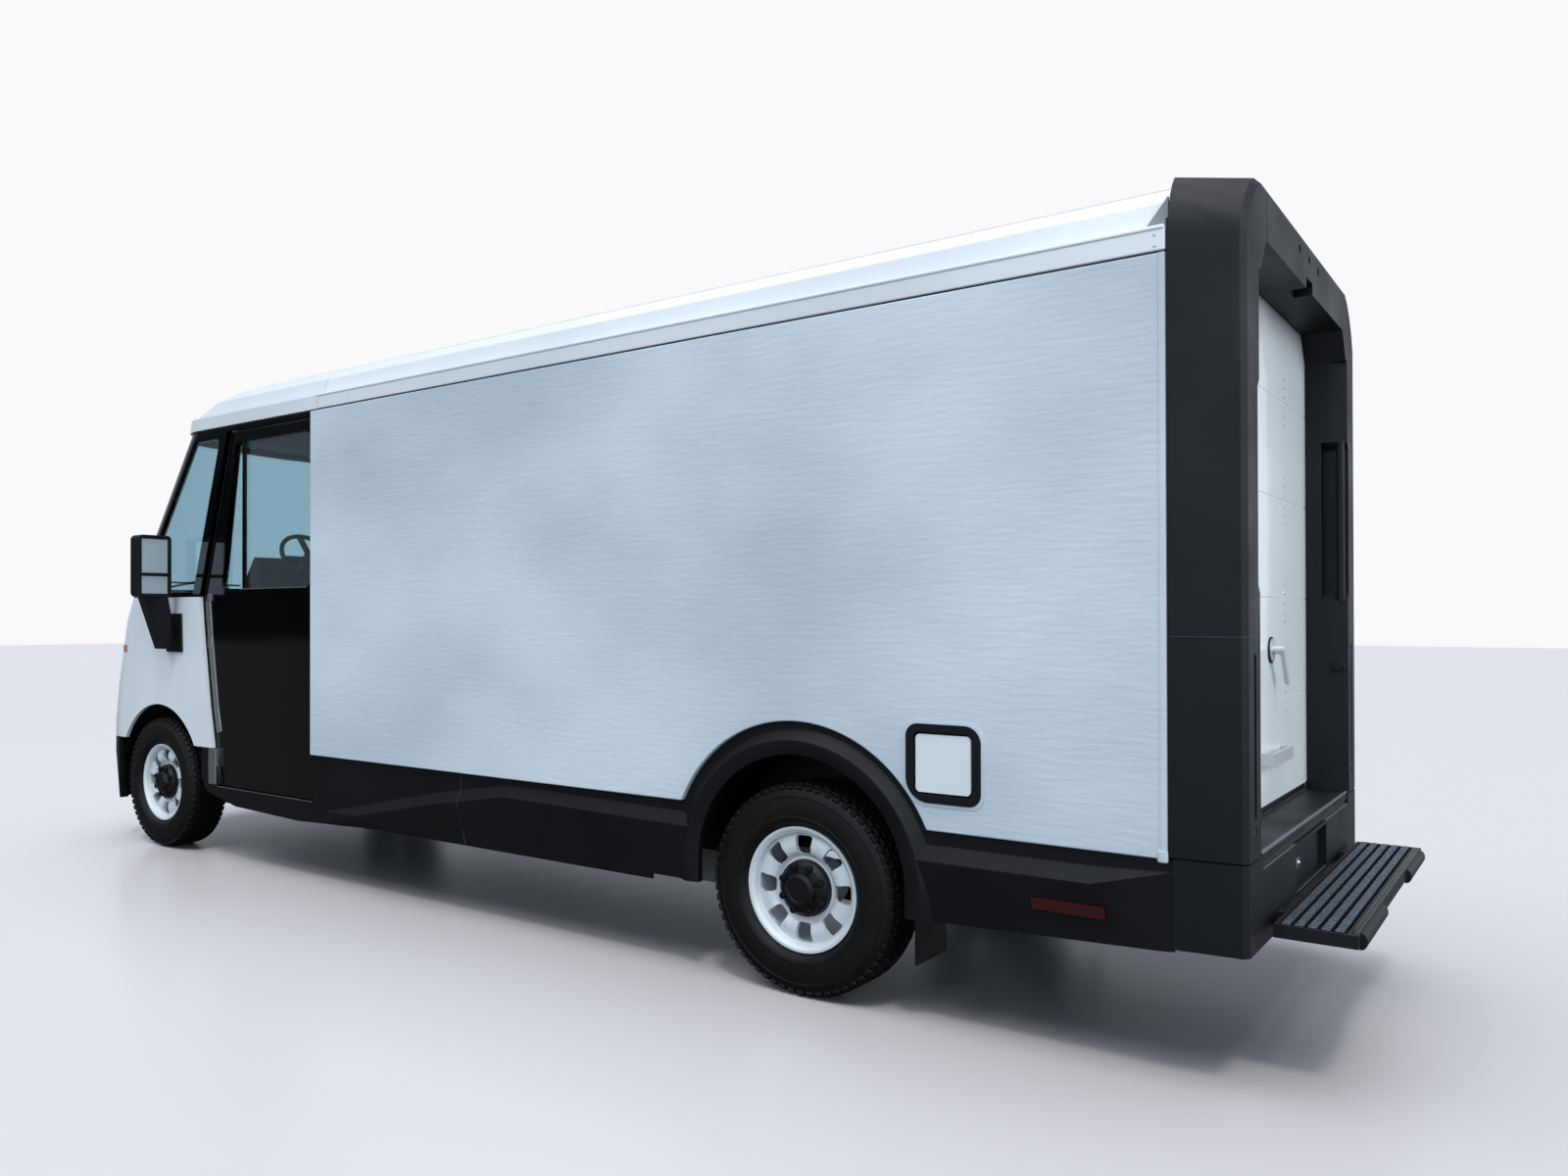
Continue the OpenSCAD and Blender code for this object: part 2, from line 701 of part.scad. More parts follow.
// One row of the step's grating: a bar with trapezoid teeth along its top
module toothed_bar(y0, half) {
    pitch = 2 * half / step_teeth;
    end_prism(y0, y0 + bar_w) polygon(concat(
        [[half, step_z - 34], [-half, step_z - 34]],
        [for (i = [0:step_teeth - 1], p = [[0.08, -9], [0.2, 0], [0.66, 0], [0.78, -9]])
            [-half + (i + p[0]) * pitch, step_z + p[1]]]));
}

// Round-faced rubber stop along the step's outer edge
module step_stop(x0, x1, y, z, r) {
    side_prism(x0, x1) polygon(concat([[y - 4, z - r], [y - 4, z + r]],
        [for (p = arc(0, 0, r, 90, -90, 12)) [y + p[0] * stop_depth / r, z + p[1]]]));
}

// Grated step: a frame, bearer bars and rows of teeth
module rear_step() {
    y0 = tail_y + step_gap;
    frame_len = step_len - stop_depth;
    pitch = (frame_len - 46) / step_rows;
    inner = step_half - 12;
    color("black") {
        difference() {
            box([-step_half, y0, step_z - step_h], [step_half, y0 + frame_len, step_z - 4]);
            box([-inner, y0 + 12, step_z - step_h - 1], [inner, y0 + frame_len - 30, step_z]);
            for (x = [-step_half + 25:50:step_half - 20])
                translate([x, y0 + frame_len - 16, step_z - 14]) cylinder(h = 20, r = 6);
        }
        for (i = [0:step_rows - 1])
            toothed_bar(y0 + 20 + i * pitch, inner + 3);
        for (x = [-step_half + 62:136:step_half - 40])
            box([x, y0 + 6, step_z - 40], [x + 8, y0 + frame_len - 25, step_z - 12]);
        both_sides() {
            box([rail_in, tail_y - 38, 440], [rail_in + rail_wide, y0 + 20, 488]);
            step_stop(320, step_half - 48, y0 + frame_len, step_z - 30, 25);
        }
    }
}

// ---- Lower cladding ----

cladding_out = half_w - 22;
cladding_in = half_w - panel_t - 2;
front_sill_z = 335;
marker_in = half_w - 8;

module cladding_outline() {
    polygon([
        [front_axle + 496, 655], [front_axle + 640, 655], [front_axle + 672, door_bottom - 10],
        [panel_y - 4, door_bottom - 10], [panel_y - 4, panel_bottom - 3], [portal_y + 8, panel_bottom - 3],
        [portal_y + 8, 407], [rear_axle_y + 500, 372], [rear_axle_y + 380, 372],
        [rear_axle_y - 420, 350], [panel_y + 500, 347], [panel_y - 140, 318],
        [front_axle + 860, front_sill_z], [front_axle + 560, 395], [front_axle + 496, 470]]);
}

crest_out = half_w + 6;
shelf_h = 52;
crest_r = flare_r - 66;

// Crease of the side: distance along, height, distance out
crease = [
    [panel_y + 120, 345, cladding_out + 8], [panel_y + 400, 403, crest_out], [panel_y + 990, 523, crest_out],
    [panel_y + 1500, 606, crest_out], [rear_axle_y - 470, 590, crest_out]];
rear_crease = [
    [rear_axle_y + 470, 585, crest_out], [portal_y - 240, 585, crest_out], [portal_y + 7, 596, cladding_out]];

// Moulded side: each length is upright under the panel, runs out to a crest and tucks in below it
module crested(points, low) {
    for (i = [0:len(points) - 2]) {
        a = points[i];
        b = points[i + 1];
        hull() {
            side_prism(cladding_out - 1, cladding_out)
                polygon([[a[0], low], [a[0], a[1] + shelf_h], [b[0], b[1] + shelf_h], [b[0], low]]);
            for (p = [a, b])
                box([p[2] - 1, p[0] - 0.5, p[1] - 8], [p[2], p[0] + 0.5, p[1]]);
        }
    }
}

module cladding() {
    color("#202224") difference() {
        union() {
            side_prism(cladding_in, cladding_out) cladding_outline();
            intersection() {
                union() {
                    crested(crease, 330);
                    crested(rear_crease, 360);
                }
                side_prism(cladding_out - 2, crest_out + 1) cladding_outline();
            }
            translate([cladding_in, rear_axle_y, 450]) rotate([0, 90, 0])
                cylinder(h = cladding_out - cladding_in + 1, r = flare_r, $fn = 128);
            translate([cladding_out, rear_axle_y, 450]) rotate([0, 90, 0])
                cylinder(h = crest_out + 1 - cladding_out, r1 = flare_r - 22, r2 = crest_r, $fn = 128);
            box([rail_in + rail_wide + 30, front_axle + 720, 345],
                [cladding_in + 2, panel_y - 10, door_bottom - 14]);
        }
        side_prism(cladding_in - 5, half_w + 40) rear_arch_hole(0);
        translate([crest_out - 15, rear_axle_y, 450]) rotate([0, 90, 0])
            cylinder(h = 17, r1 = 430, r2 = crest_r - 6, $fn = 128);
        box([marker_in - 1, rear_axle_y + 903, 476], [half_w + 20, rear_axle_y + 1141, 519]);
        side_prism(cladding_in - 5, half_w + 40) translate([rear_axle_y - 700, -400]) square([1400, 772]);
    }
}

module mudflaps() {
    color("black") both_sides()
        box([740, rear_axle_y + 471, 204], [980, rear_axle_y + 479, 590]);
}

module wheelhouses() {
    color("#303030") both_sides() {
        difference() {
            side_prism(430, cab_half - nose_t - 12) {
                translate([front_axle, axle_z]) circle(front_arch_r + 24, $fn = 20);
            }
            side_prism(430 + liner_t, cab_half) translate([front_axle, axle_z])
                circle(front_arch_r + 24 - liner_t, $fn = 20);
            box([420, front_axle - 700, -200], [cab_half + 5, front_axle + 700, 540]);
            translate([452, front_axle + 60, 300]) cylinder(h = 500, r = 70);
        }
        difference() {
            side_prism(rail_in + 120, cladding_in - 2) rear_arch_hole(20);
            side_prism(rail_in + 120 + liner_t, half_w) rear_arch_hole(20 - liner_t);
            box([rail_in, rear_axle_y - 700, -200], [half_w + 5, rear_axle_y + 700, 560]);
        }
    }
}

// ---- Cab ----

fender_bottom = 655;
hood_half = 690;
hood_low = 1180;

module fender_region() {
    difference() {
        polygon([
            [nose_y - 20, fender_bottom], [front_axle + 617, fender_bottom], [front_axle + 567, 895],
            [front_axle + 499, 1331], [front_axle + 472, belt_z], [nose_y - 20, belt_z]]);
        front_arch_hole(0);
    }
}

module front_body() {
    color("white") difference() {
        intersection() {
            cab_skin(0, nose_t, front_axle + 700);
            side_prism(-cab_half - 10, cab_half + 10) fender_region();
        }
        box([-hood_half - 5, nose_y - 20, hood_low - 5], [hood_half + 5, nose_y + 330, belt_z - 30]);
        box([-cab_half - 5, nose_y - 20, 1195], [-hood_half - 60, nose_y + 420, 1255]);
        box([hood_half + 60, nose_y - 20, 1195], [cab_half + 5, nose_y + 420, 1255]);
        both_sides() box([560, nose_y - 20, 800], [860, nose_y + 260, 980]);
        box([-620, nose_y - 20, 1060], [620, nose_y + 100, 1090]);
    }
}

module hood() {
    color("white") intersection() {
        cab_skin(0, nose_t, front_axle + 700);
        box([-hood_half, nose_y - 20, hood_low], [hood_half, nose_y + 325, belt_z - 36]);
    }
}

module front_bumper() {
    color("#202224") difference() {
        intersection() {
            cab_skin(0, nose_t + 8, front_axle - front_arch_r - 4);
            box([-cab_half - 5, nose_y - 20, 250],
                [cab_half + 5, front_axle - front_arch_r - 6, fender_bottom - 4]);
        }
        for (z = [360:45:500])
            box([-300, nose_y - 20, z], [300, nose_y + 150, z + 22]);
        box([tow_x - 45, nose_y - 20, tow_z - 45], [tow_x + 45, nose_y + 250, tow_z + 45]);
    }
}

module front_lamps() {
    color("lightyellow") {
        intersection() {
            cab_skin(2, 16, front_axle);
            union() {
                both_sides() {
                    box([hood_half + 64, nose_y - 20, 1199], [cab_half + 5, nose_y + 416, 1251]);
                    box([564, nose_y - 20, 804], [856, nose_y + 256, 976]);
                }
                box([-616, nose_y - 20, 1063], [616, nose_y + 96, 1087]);
            }
        }
    }
}

module cab_frame() {
    color("black") difference() {
        intersection() {
            cab_skin(0, frame_t, panel_y - 4);
            box([-cab_half - 5, nose_y, belt_z + 3], [cab_half + 5, panel_y - 4, rail_bottom - 1]);
        }
        box([-925, nose_y, belt_z + 34], [925, front_axle + 700, rail_bottom - 40]);
        side_prism(-cab_half - 5, cab_half + 5) quarter_outline();
        side_prism(-cab_half - 5, cab_half + 5) offset(delta = 8) door_outline();
    }
}

module windshield() {
    color([0.5, 0.6, 0.7, 0.4]) intersection() {
        cab_skin(8, 8 + glass_t, front_axle + 700);
        box([-922, nose_y, belt_z + 38], [922, front_axle + 600, rail_bottom - 44]);
    }
}

module quarter_glass() {
    color([0.5, 0.6, 0.7, 0.4]) both_sides()
        side_prism(cab_half - 16, cab_half - 16 + glass_t) offset(delta = -2) quarter_outline();
}

module door_solid() {
    color("#101114") {
        difference() {
            side_prism(door_in, door_out) door_outline();
            side_prism(door_in - 5, door_out + 5) door_window();
            side_prism(door_in - 5, door_out - 14) offset(delta = 14) door_window();
        }
        side_prism(door_out - 13, door_out - 1)
            translate([front_axle + 890, door_window_z - 4]) square([30, door_top - door_window_z - 52]);
    }
}

module door_glass() {
    color([0.4, 0.5, 0.6, 0.4])
        side_prism(door_out - 14 - glass_t, door_out - 14) offset(delta = 13) door_window();
}

well_x = 640;
well_z = 475;

// Flat floor with a step well inside each door
module cab_floor() {
    side = door_in - 12;
    back = panel_y - 40;
    well_front = front_axle + 680;
    color("#303030") difference() {
        intersection() {
            cab_loft(nose_t + 14, panel_y, false);
            union() {
                box([-side, front_axle - 560, cab_floor_z - 35], [side, well_front + 20, cab_floor_z]);
                box([-well_x, well_front, cab_floor_z - 35], [well_x, back, cab_floor_z]);
                box([-side, front_axle - 585, 540], [side, front_axle - 555, 1500]);
                both_sides() {
                    box([well_x - 16, well_front, well_z - 35], [well_x, back, cab_floor_z - 5]);
                    box([well_x - 5, well_front, well_z - 35], [side, back, well_z]);
                    box([well_x - 5, well_front, well_z - 5], [side, well_front + 20, cab_floor_z - 5]);
                }
            }
        }
        both_sides()
            box([386, front_axle - front_arch_r - 40, 530], [1000, front_axle + front_arch_r + 40, 930]);
    }
}

wheel_pos = [480, front_axle + 850, 1780];
wheel_tilt = 50;

module dashboard() {
    color("#26282a") {
        intersection() {
            cab_loft(nose_t + 14, panel_y, false);
            side_prism(-900, 900) polygon([
                [front_axle - 552, 1300], [front_axle - 300, 1190], [front_axle + 180, 1220],
                [front_axle + 390, 1400], [front_axle + 420, 1530], [front_axle + 320, 1590],
                [front_axle - 350, 1610], [front_axle - 552, 1560]]);
        }
        side_prism(wheel_pos[0] - 110, wheel_pos[0] + 110) polygon([
            [front_axle + 260, 1580], [front_axle + 400, 1520], [front_axle + 455, 1690],
            [front_axle + 425, 1800], [front_axle + 405, 1805], [front_axle + 300, 1660]]);
        box([110, front_axle + 385, 1500], [340, front_axle + 405, 1790]);
        translate(wheel_pos) rotate([-wheel_tilt, 0, 0])
            translate([0, 0, -640]) cylinder(h = 600, r = 36);
    }
}

// Pedestal, cushion, backrest and head restraint
module driver_seat() {
    front = front_axle + 935;
    color("#303236") {
        box([250, front + 20, cab_floor_z + 1], [630, front + 470, 1090]);
        box([230, front, 1091], [730, front + 510, 1210]);
        box([240, front + 512, 1092], [720, front + 630, 1830]);
        box([340, front + 520, 1831], [620, front + 605, 2020]);
    }
}

module steering_wheel() {
    color("black") translate(wheel_pos) rotate([-wheel_tilt, 0, 0]) {
        rotate_extrude($fn = 64) translate([190, 0]) circle(14, $fn = 12);
        cylinder(h = 34, r = 52, center = true);
        for (a = [0, 180, 270])
            rotate([0, 0, a]) translate([0, -18, -10]) cube([185, 36, 14]);
        translate([0, 0, -30]) cylinder(h = 25, r = 24);
    }
}

module mirrors() {
    color("black") both_sides() translate([0, front_axle, 0]) {
        difference() {
            rounded_box([1060, 160, 1548], [1262, 262, 1918], 28);
            box([1078, 250, 1690], [1244, 270, 1898]);
            box([1078, 250, 1566], [1244, 270, 1676]);
        }
        hull() {
            box([cab_half + 1, 110, 1215], [cab_half + 12, 290, 1225]);
            box([cab_half + 1, 170, 1440], [cab_half + 12, 280, 1450]);
        }
        hull() {
            box([cab_half + 8, 120, 1235], [cab_half + 90, 215, 1300]);
            box([1075, 175, 1545], [1225, 245, 1570]);
        }
    }
}

module rounded_box(lo, hi, r) {
    translate([0, lo[1], 0]) end_prism(0, hi[1] - lo[1])
        translate([(lo[0] + hi[0]) / 2, (lo[2] + hi[2]) / 2])
            offset(r = r) square([hi[0] - lo[0] - 2 * r, hi[2] - lo[2] - 2 * r], center = true);
}

// ---- Charge port ----

flap_half = [101, 100];

module charge_port() {
    color("#101214") {
        difference() {
            side_prism(half_w - 28, half_w + 8) charge_hole(-0.5);
            side_prism(half_w - 60, half_w + 20) translate([port_y, port_z])
                offset(r = 20) square([2 * flap_half[0] - 27, 2 * flap_half[1] - 28], center = true);
        }
        side_prism(half_w - 60, half_w - 27) translate([port_y, port_z]) difference() {
            offset(r = 24) square([172, 170], center = true);
            circle(30);
        }
    }
}

module charge_flap() {
    color("aliceblue") side_prism(half_w - 10, half_w + 2) translate([port_y, port_z])
        offset(r = 16) square([2 * flap_half[0] - 32, 2 * flap_half[1] - 32], center = true);
}

chassis_rails();
front_rails();
battery_pack();
front_subframe();
drive_units();
rear_axle();
cargo_floor();
side_panel(true);  // side_panel_left
mirror([1, 0, 0]) side_panel(false);  // side_panel_right
inner_wall();  // inner_wall_left
mirror([1, 0, 0]) inner_wall();  // inner_wall_right
roof();
cab_roof();
rear_post();  // rear_post_left
mirror([1, 0, 0]) rear_post();  // rear_post_right
rear_header();
rear_door();
rear_door_handles();
rear_sill();
rear_step();
cladding();  // cladding_left
mirror([1, 0, 0]) cladding();  // cladding_right
front_bumper();
front_body();
hood();
cab_frame();
windshield();
quarter_glass();
cab_floor();
wheelhouses();
bulkhead();
dashboard();
driver_seat();
mirrors();
front_lamps();
rear_lamps();
mudflaps();
charge_port();
charge_flap();
door_solid();  // door_left
mirror([1, 0, 0]) door_solid();  // door_right
door_glass();  // door_glass_left
mirror([1, 0, 0]) door_glass();  // door_glass_right
steering_wheel();
color("gray") knuckle();  // knuckle_left
color("gray") mirror([1, 0, 0]) knuckle();  // knuckle_right
at_wheel(1, front_axle) wheel_form();  // wheel_front_left
at_wheel(-1, front_axle) wheel_form();  // wheel_front_right
at_wheel(1, rear_axle_y) wheel_form();  // wheel_rear_left
at_wheel(-1, rear_axle_y) wheel_form();  // wheel_rear_right
at_wheel(1, front_axle) tyre_form();  // tyre_front_left
at_wheel(-1, front_axle) tyre_form();  // tyre_front_right
at_wheel(1, rear_axle_y) tyre_form();  // tyre_rear_left
at_wheel(-1, rear_axle_y) tyre_form();  // tyre_rear_right
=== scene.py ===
"""Electric cargo van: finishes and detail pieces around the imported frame.

Lengths are metres in the CAD frame: the front faces -Y, the vehicle's left is +X and the ground is z = 0.
"""
import math

import bpy
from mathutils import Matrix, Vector


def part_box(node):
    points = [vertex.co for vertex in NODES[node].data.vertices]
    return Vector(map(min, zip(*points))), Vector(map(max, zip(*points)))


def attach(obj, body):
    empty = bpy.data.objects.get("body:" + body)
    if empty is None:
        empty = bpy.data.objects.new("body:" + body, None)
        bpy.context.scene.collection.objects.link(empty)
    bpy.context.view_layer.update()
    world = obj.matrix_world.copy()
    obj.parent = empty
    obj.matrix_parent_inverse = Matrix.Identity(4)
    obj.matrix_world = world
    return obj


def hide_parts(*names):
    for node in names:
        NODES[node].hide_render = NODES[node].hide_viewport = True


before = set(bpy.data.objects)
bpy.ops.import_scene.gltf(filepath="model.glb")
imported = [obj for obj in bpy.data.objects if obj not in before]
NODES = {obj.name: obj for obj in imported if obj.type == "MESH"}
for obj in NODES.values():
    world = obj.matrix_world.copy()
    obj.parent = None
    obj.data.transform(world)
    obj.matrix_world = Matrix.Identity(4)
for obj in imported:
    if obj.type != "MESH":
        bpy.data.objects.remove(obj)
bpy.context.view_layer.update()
VAN = "van_body"
SIDES = ("left", "right")


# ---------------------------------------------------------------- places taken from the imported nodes

def low(node):
    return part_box(node)[0]


def high(node):
    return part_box(node)[1]


def middle(node, axis):
    return (high(node)[axis] + low(node)[axis]) / 2


HALF = high("side_panel_left")[0]       # outer face of the load box
PANEL_FRONT = low("side_panel_left")[1]
PANEL_END = high("side_panel_left")[1]
PANEL_LOW = low("side_panel_left")[2]
RAIL_LOW = high("side_panel_left")[2]   # underside of the cant rail
RAIL_TOP = RAIL_LOW + 0.073
ROOF_TOP = high("roof")[2]
PORTAL = low("rear_post_left")[1]       # front face of the tail frame
TAIL = high("rear_header")[1]           # rear face of the tail frame
DOOR_LAP = 0.024                        # how far the roll-up door runs behind each post
OPENING = -low("rear_door")[0] - DOOR_LAP
SILL = high("cargo_floor")[2]
DOOR_FACE = high("rear_door")[1]
STEP_TOP = high("rear_step")[2]
STEP_END = high("rear_step")[1]
WHEEL_R = (high("tyre_rear_left")[2] - low("tyre_rear_left")[2]) / 2
FRONT_AXLE = middle("tyre_front_left", 1)
REAR_AXLE = middle("tyre_rear_left", 1)
TYRE_MID = middle("tyre_rear_left", 0)
WHEEL_FACE = TYRE_MID + 0.098           # outer face of the wheel disc
DOOR_OUT = high("door_left")[0]         # outer face of the cab door
DOOR_TOP = high("door_left")[2]
NOSE = low("front_body")[1]


# ---------------------------------------------------------------- colours and shader nodes

def linear(hex_colour):
    """sRGB hex to a linear RGBA tuple."""
    out = []
    for i in (0, 2, 4):
        c = int(hex_colour[i:i + 2], 16) / 255
        out.append(c / 12.92 if c <= 0.04045 else ((c + 0.055) / 1.055) ** 2.4)
    return (*out, 1.0)


def add(owner, kind, settings=None, links=None):
    """Adds one node to a material or world, sets its properties or inputs and links its inputs."""
    tree = owner.node_tree
    node = tree.nodes.new(kind)
    for key, value in (settings or {}).items():
        if key in node.inputs:
            node.inputs[key].default_value = value
        else:
            setattr(node, key, value)
    for key, source in (links or {}).items():
        tree.links.new(source, node.inputs[key])
    return node


def shader_of(mat):
    return mat.node_tree.nodes["Principled BSDF"]


def new_material(name, hex_colour, roughness, metallic=0.0, **sockets):
    mat = bpy.data.materials.new(name)
    mat.use_nodes = True
    shader = shader_of(mat)
    shader.inputs["Base Color"].default_value = linear(hex_colour)
    shader.inputs["Roughness"].default_value = roughness
    shader.inputs["Metallic"].default_value = metallic
    for key, value in sockets.items():
        shader.inputs[key.replace("_", " ")].default_value = value
    return mat


def noise(mat, scale, detail, stretch=None):
    """Noise in object space; scale is features per metre."""
    place = add(mat, "ShaderNodeTexCoord").outputs["Object"]
    if stretch:
        place = add(mat, "ShaderNodeMapping", {"Scale": stretch}, {"Vector": place}).outputs["Vector"]
    node = add(mat, "ShaderNodeTexNoise", {"Scale": scale, "Detail": detail}, {"Vector": place})
    return node.outputs["Fac"]


def relief(mat, height, depth, strength):
    """Bump of a real depth in metres, chained onto any bump that is there."""
    shader = shader_of(mat)
    node = add(mat, "ShaderNodeBump", {"Strength": strength, "Distance": depth}, {"Height": height})
    before = shader.inputs["Normal"].links
    if before:
        mat.node_tree.links.new(before[0].from_socket, node.inputs["Normal"])
    mat.node_tree.links.new(node.outputs["Normal"], shader.inputs["Normal"])


def grain(mat, scale, detail, depth, strength, stretch=None):
    """Relief made by one noise of its own."""
    relief(mat, noise(mat, scale, detail, stretch), depth, strength)


def vary(mat, socket, source, lo, hi, span=(0.3, 0.7)):
    """Drives a float socket between two values."""
    node = add(mat, "ShaderNodeMapRange",
               {"From Min": span[0], "From Max": span[1], "To Min": lo, "To Max": hi}, {"Value": source})
    mat.node_tree.links.new(node.outputs["Result"], shader_of(mat).inputs[socket])


def tint(mat, source, first, second, span=(0.3, 0.7)):
    """Blends the base colour between two hex colours."""
    factor = add(mat, "ShaderNodeMapRange", {"From Min": span[0], "From Max": span[1]}, {"Value": source})
    mix = add(mat, "ShaderNodeMix", {"data_type": "RGBA"})
    colour_in = [s for s in mix.inputs if s.type == "RGBA"]
    colour_in[0].default_value = linear(first)
    colour_in[1].default_value = linear(second)
    mat.node_tree.links.new(factor.outputs["Result"], mix.inputs["Factor"])
    out = [s for s in mix.outputs if s.type == "RGBA"][0]
    mat.node_tree.links.new(out, shader_of(mat).inputs["Base Color"])


def painted(name, hex_colour, second):
    """Body enamel: faint orange peel under a clear coat, and a film of road dust in soft patches."""
    mat = new_material(name, hex_colour, 0.28, Coat_Weight=0.5, Coat_Roughness=0.06)
    grain(mat, scale=130.0, detail=1.0, depth=0.00008, strength=0.6)
    tint(mat, noise(mat, 1.1, 4.0), hex_colour, second)
    return mat


def grained(name, hex_colour, second, roughness):
    """Moulded plastic: pebble grain about a millimetre wide, with patches rubbed smoother."""
    mat = new_material(name, hex_colour, roughness, Specular_IOR_Level=0.25)
    grain(mat, scale=900.0, detail=2.0, depth=0.0003, strength=0.5)
    vary(mat, "Roughness", noise(mat, 3.0, 5.0), roughness - 0.08, roughness + 0.1)
    tint(mat, noise(mat, 2.0, 6.0), hex_colour, second)
    return mat


def brushed(name, hex_colour, roughness, stretch):
    """Rolled sheet metal: fine scratches along one direction."""
    mat = new_material(name, hex_colour, roughness, 1.0)
    lines = noise(mat, 60.0, 4.0, stretch)
    relief(mat, lines, 0.0001, 0.5)
    vary(mat, "Roughness", lines, roughness - 0.08, roughness + 0.12)
    return mat


# Painted metal
white_paint = painted("white_body_enamel", "DDE1E5", "D2D7DC")
wheel_white = painted("white_wheel_enamel", "D3D8DB", "C4CACE")
door_white = painted("white_shutter_enamel", "E9EEF0", "DEE4E7")

# Load-box skin: pale grey gel coat on shallow waves, its weave as level ripples, and soft clouds of paler and
# darker blue-grey that are painted reflections of the sky in the gel coat
panel_skin = new_material("fibreglass_panel", "CACFD5", 0.42, Coat_Weight=0.2, Coat_Roughness=0.25)
grain(panel_skin, scale=3.0, detail=2.0, depth=0.006, strength=0.4)
grain(panel_skin, scale=60.0, detail=3.0, depth=0.002, strength=0.7, stretch=(1.0, 0.14, 1.0))
grain(panel_skin, scale=220.0, detail=2.0, depth=0.0007, strength=0.5, stretch=(1.0, 0.4, 1.0))
# Painted reflections: soft clouds of paler and darker blue-grey across the whole panel
tint(panel_skin, noise(panel_skin, 0.95, 3.0, (1.0, 0.7, 1.1)), "CBD5DC", "B3BFC8", (0.38, 0.64))

# Plastics and coated boards
black_plastic = grained("grained_black_polypropylene", "080B10", "06080C", 0.48)
cladding_plastic = grained("grained_cladding_polypropylene", "050609", "07080B", 0.48)
trim_black = grained("satin_black_trim", "08090A", "0B0C0E", 0.42)
# Lighter grey for the seam and joint lines: a painted highlight along their edges
seam_highlight_grey = grained("seam_edge_painted_highlight", "3A4047", "2E3339", 0.45)
interior = grained("interior_plastic", "131517", "0F1113", 0.62)
closing_plate_grey = grained("closing_plate_mid_grey", "8D9396", "83898C", 0.6)
chassis_black = grained("chassis_paint", "0E0F10", "171614", 0.5)
floor_ply = grained("coated_ply_floor", "4B4946", "3F3D3B", 0.6)
sill_band = grained("scuffed_sill_band", "34312E", "2A2826", 0.55)
black_gloss = new_material("gloss_black_enamel", "020203", 0.06, Specular_IOR_Level=0.45)
grain(black_gloss, scale=6.0, detail=2.0, depth=0.0015, strength=0.12)

# Bare metals
cast_alloy = new_material("cast_aluminium", "85888A", 0.5, 0.9)
grain(cast_alloy, scale=400.0, detail=2.0, depth=0.0004, strength=0.5)
sheet_alloy = brushed("brushed_aluminium", "B7BABC", 0.34, (1.0, 1.0, 14.0))
edge_alloy = brushed("bright_edge_aluminium", "D5D8DA", 0.22, (1.0, 14.0, 1.0))
bright_zinc = new_material("bright_zinc_plate", "C9CED2", 0.3, 0.5)
worn_edge = new_material("worn_sill_edge", "6E7276", 0.4, 0.6)

# Glass and lenses
glass = new_material("tinted_glass", "BCD6E0", 0.01, Transmission_Weight=1.0, IOR=1.45)
mirror_glass = new_material("mirror_silver", "AFC0C9", 0.2, 0.35)
screen_glass = new_material("display_glass", "06080A", 0.05)
red_lens = new_material("red_lens", "30070A", 0.25)
amber_lens = new_material("amber_lens", "B4652A", 0.12, Coat_Weight=0.5)
clear_lens = new_material("smoked_lamp_lens", "1C1F23", 0.05, Coat_Weight=0.5)
lamp_unit = new_material("lamp_unit_glass", "D9DEE3", 0.08, 0.3, Coat_Weight=0.6)

# Woven seat cover
seat_cloth = new_material("seat_cloth", "1B1D20", 0.95, Sheen_Weight=0.2)
grain(seat_cloth, scale=700.0, detail=2.0, depth=0.0006, strength=0.8)

# Tyre rubber: dull black with fine moulding marks and dust caught in them
tyre_rubber = new_material("tyre_rubber", "050506", 0.55, Specular_IOR_Level=0.22)
grain(tyre_rubber, scale=500.0, detail=3.0, depth=0.0004, strength=0.5)
tint(tyre_rubber, noise(tyre_rubber, 14.0, 6.0), "040405", "0B0B0C")

# Step steel: black paint, rubbed to bright zinc in small patches on top of the teeth; the same lighter tops
# also stand for painted glints of light on the teeth
step_steel = new_material("black_step_steel_wear_and_painted_glints", "0D0E10", 0.5, Specular_IOR_Level=0.3)
WEAR_AND_GLINT_DEPTH = 0.005
step_place = add(step_steel, "ShaderNodeTexCoord").outputs["Object"]
step_height = add(step_steel, "ShaderNodeSeparateXYZ", links={"Vector": step_place}).outputs["Z"]
wear_and_glint = add(step_steel, "ShaderNodeMath", {"operation": "MULTIPLY_ADD"},
           {0: noise(step_steel, 150.0, 3.0), 2: step_height})
wear_and_glint.inputs[1].default_value = WEAR_AND_GLINT_DEPTH
# Height band on the tooth tops made lighter and metallic: real wear, and a painted glint of light
worn = (STEP_TOP + 0.0006, STEP_TOP + 0.0022)
tint(step_steel, wear_and_glint.outputs["Value"], "0A0C10", "6A7480", worn)
vary(step_steel, "Metallic", wear_and_glint.outputs["Value"], 0.0, 0.8, worn)


# ---------------------------------------------------------------- modelling helpers

def pick(obj):
    bpy.ops.object.select_all(action="DESELECT")
    obj.select_set(True)
    bpy.context.view_layer.objects.active = obj


def settle(obj):
    """Applies an object's place, turn and scale to its mesh."""
    pick(obj)
    bpy.ops.object.transform_apply(location=True, rotation=True, scale=True)
    return obj


def apply_modifier(obj, kind, **settings):
    pick(obj)
    mod = obj.modifiers.new(kind.lower(), kind)
    for key, value in settings.items():
        setattr(mod, key, value)
    bpy.ops.object.modifier_apply(modifier=mod.name)
    return obj


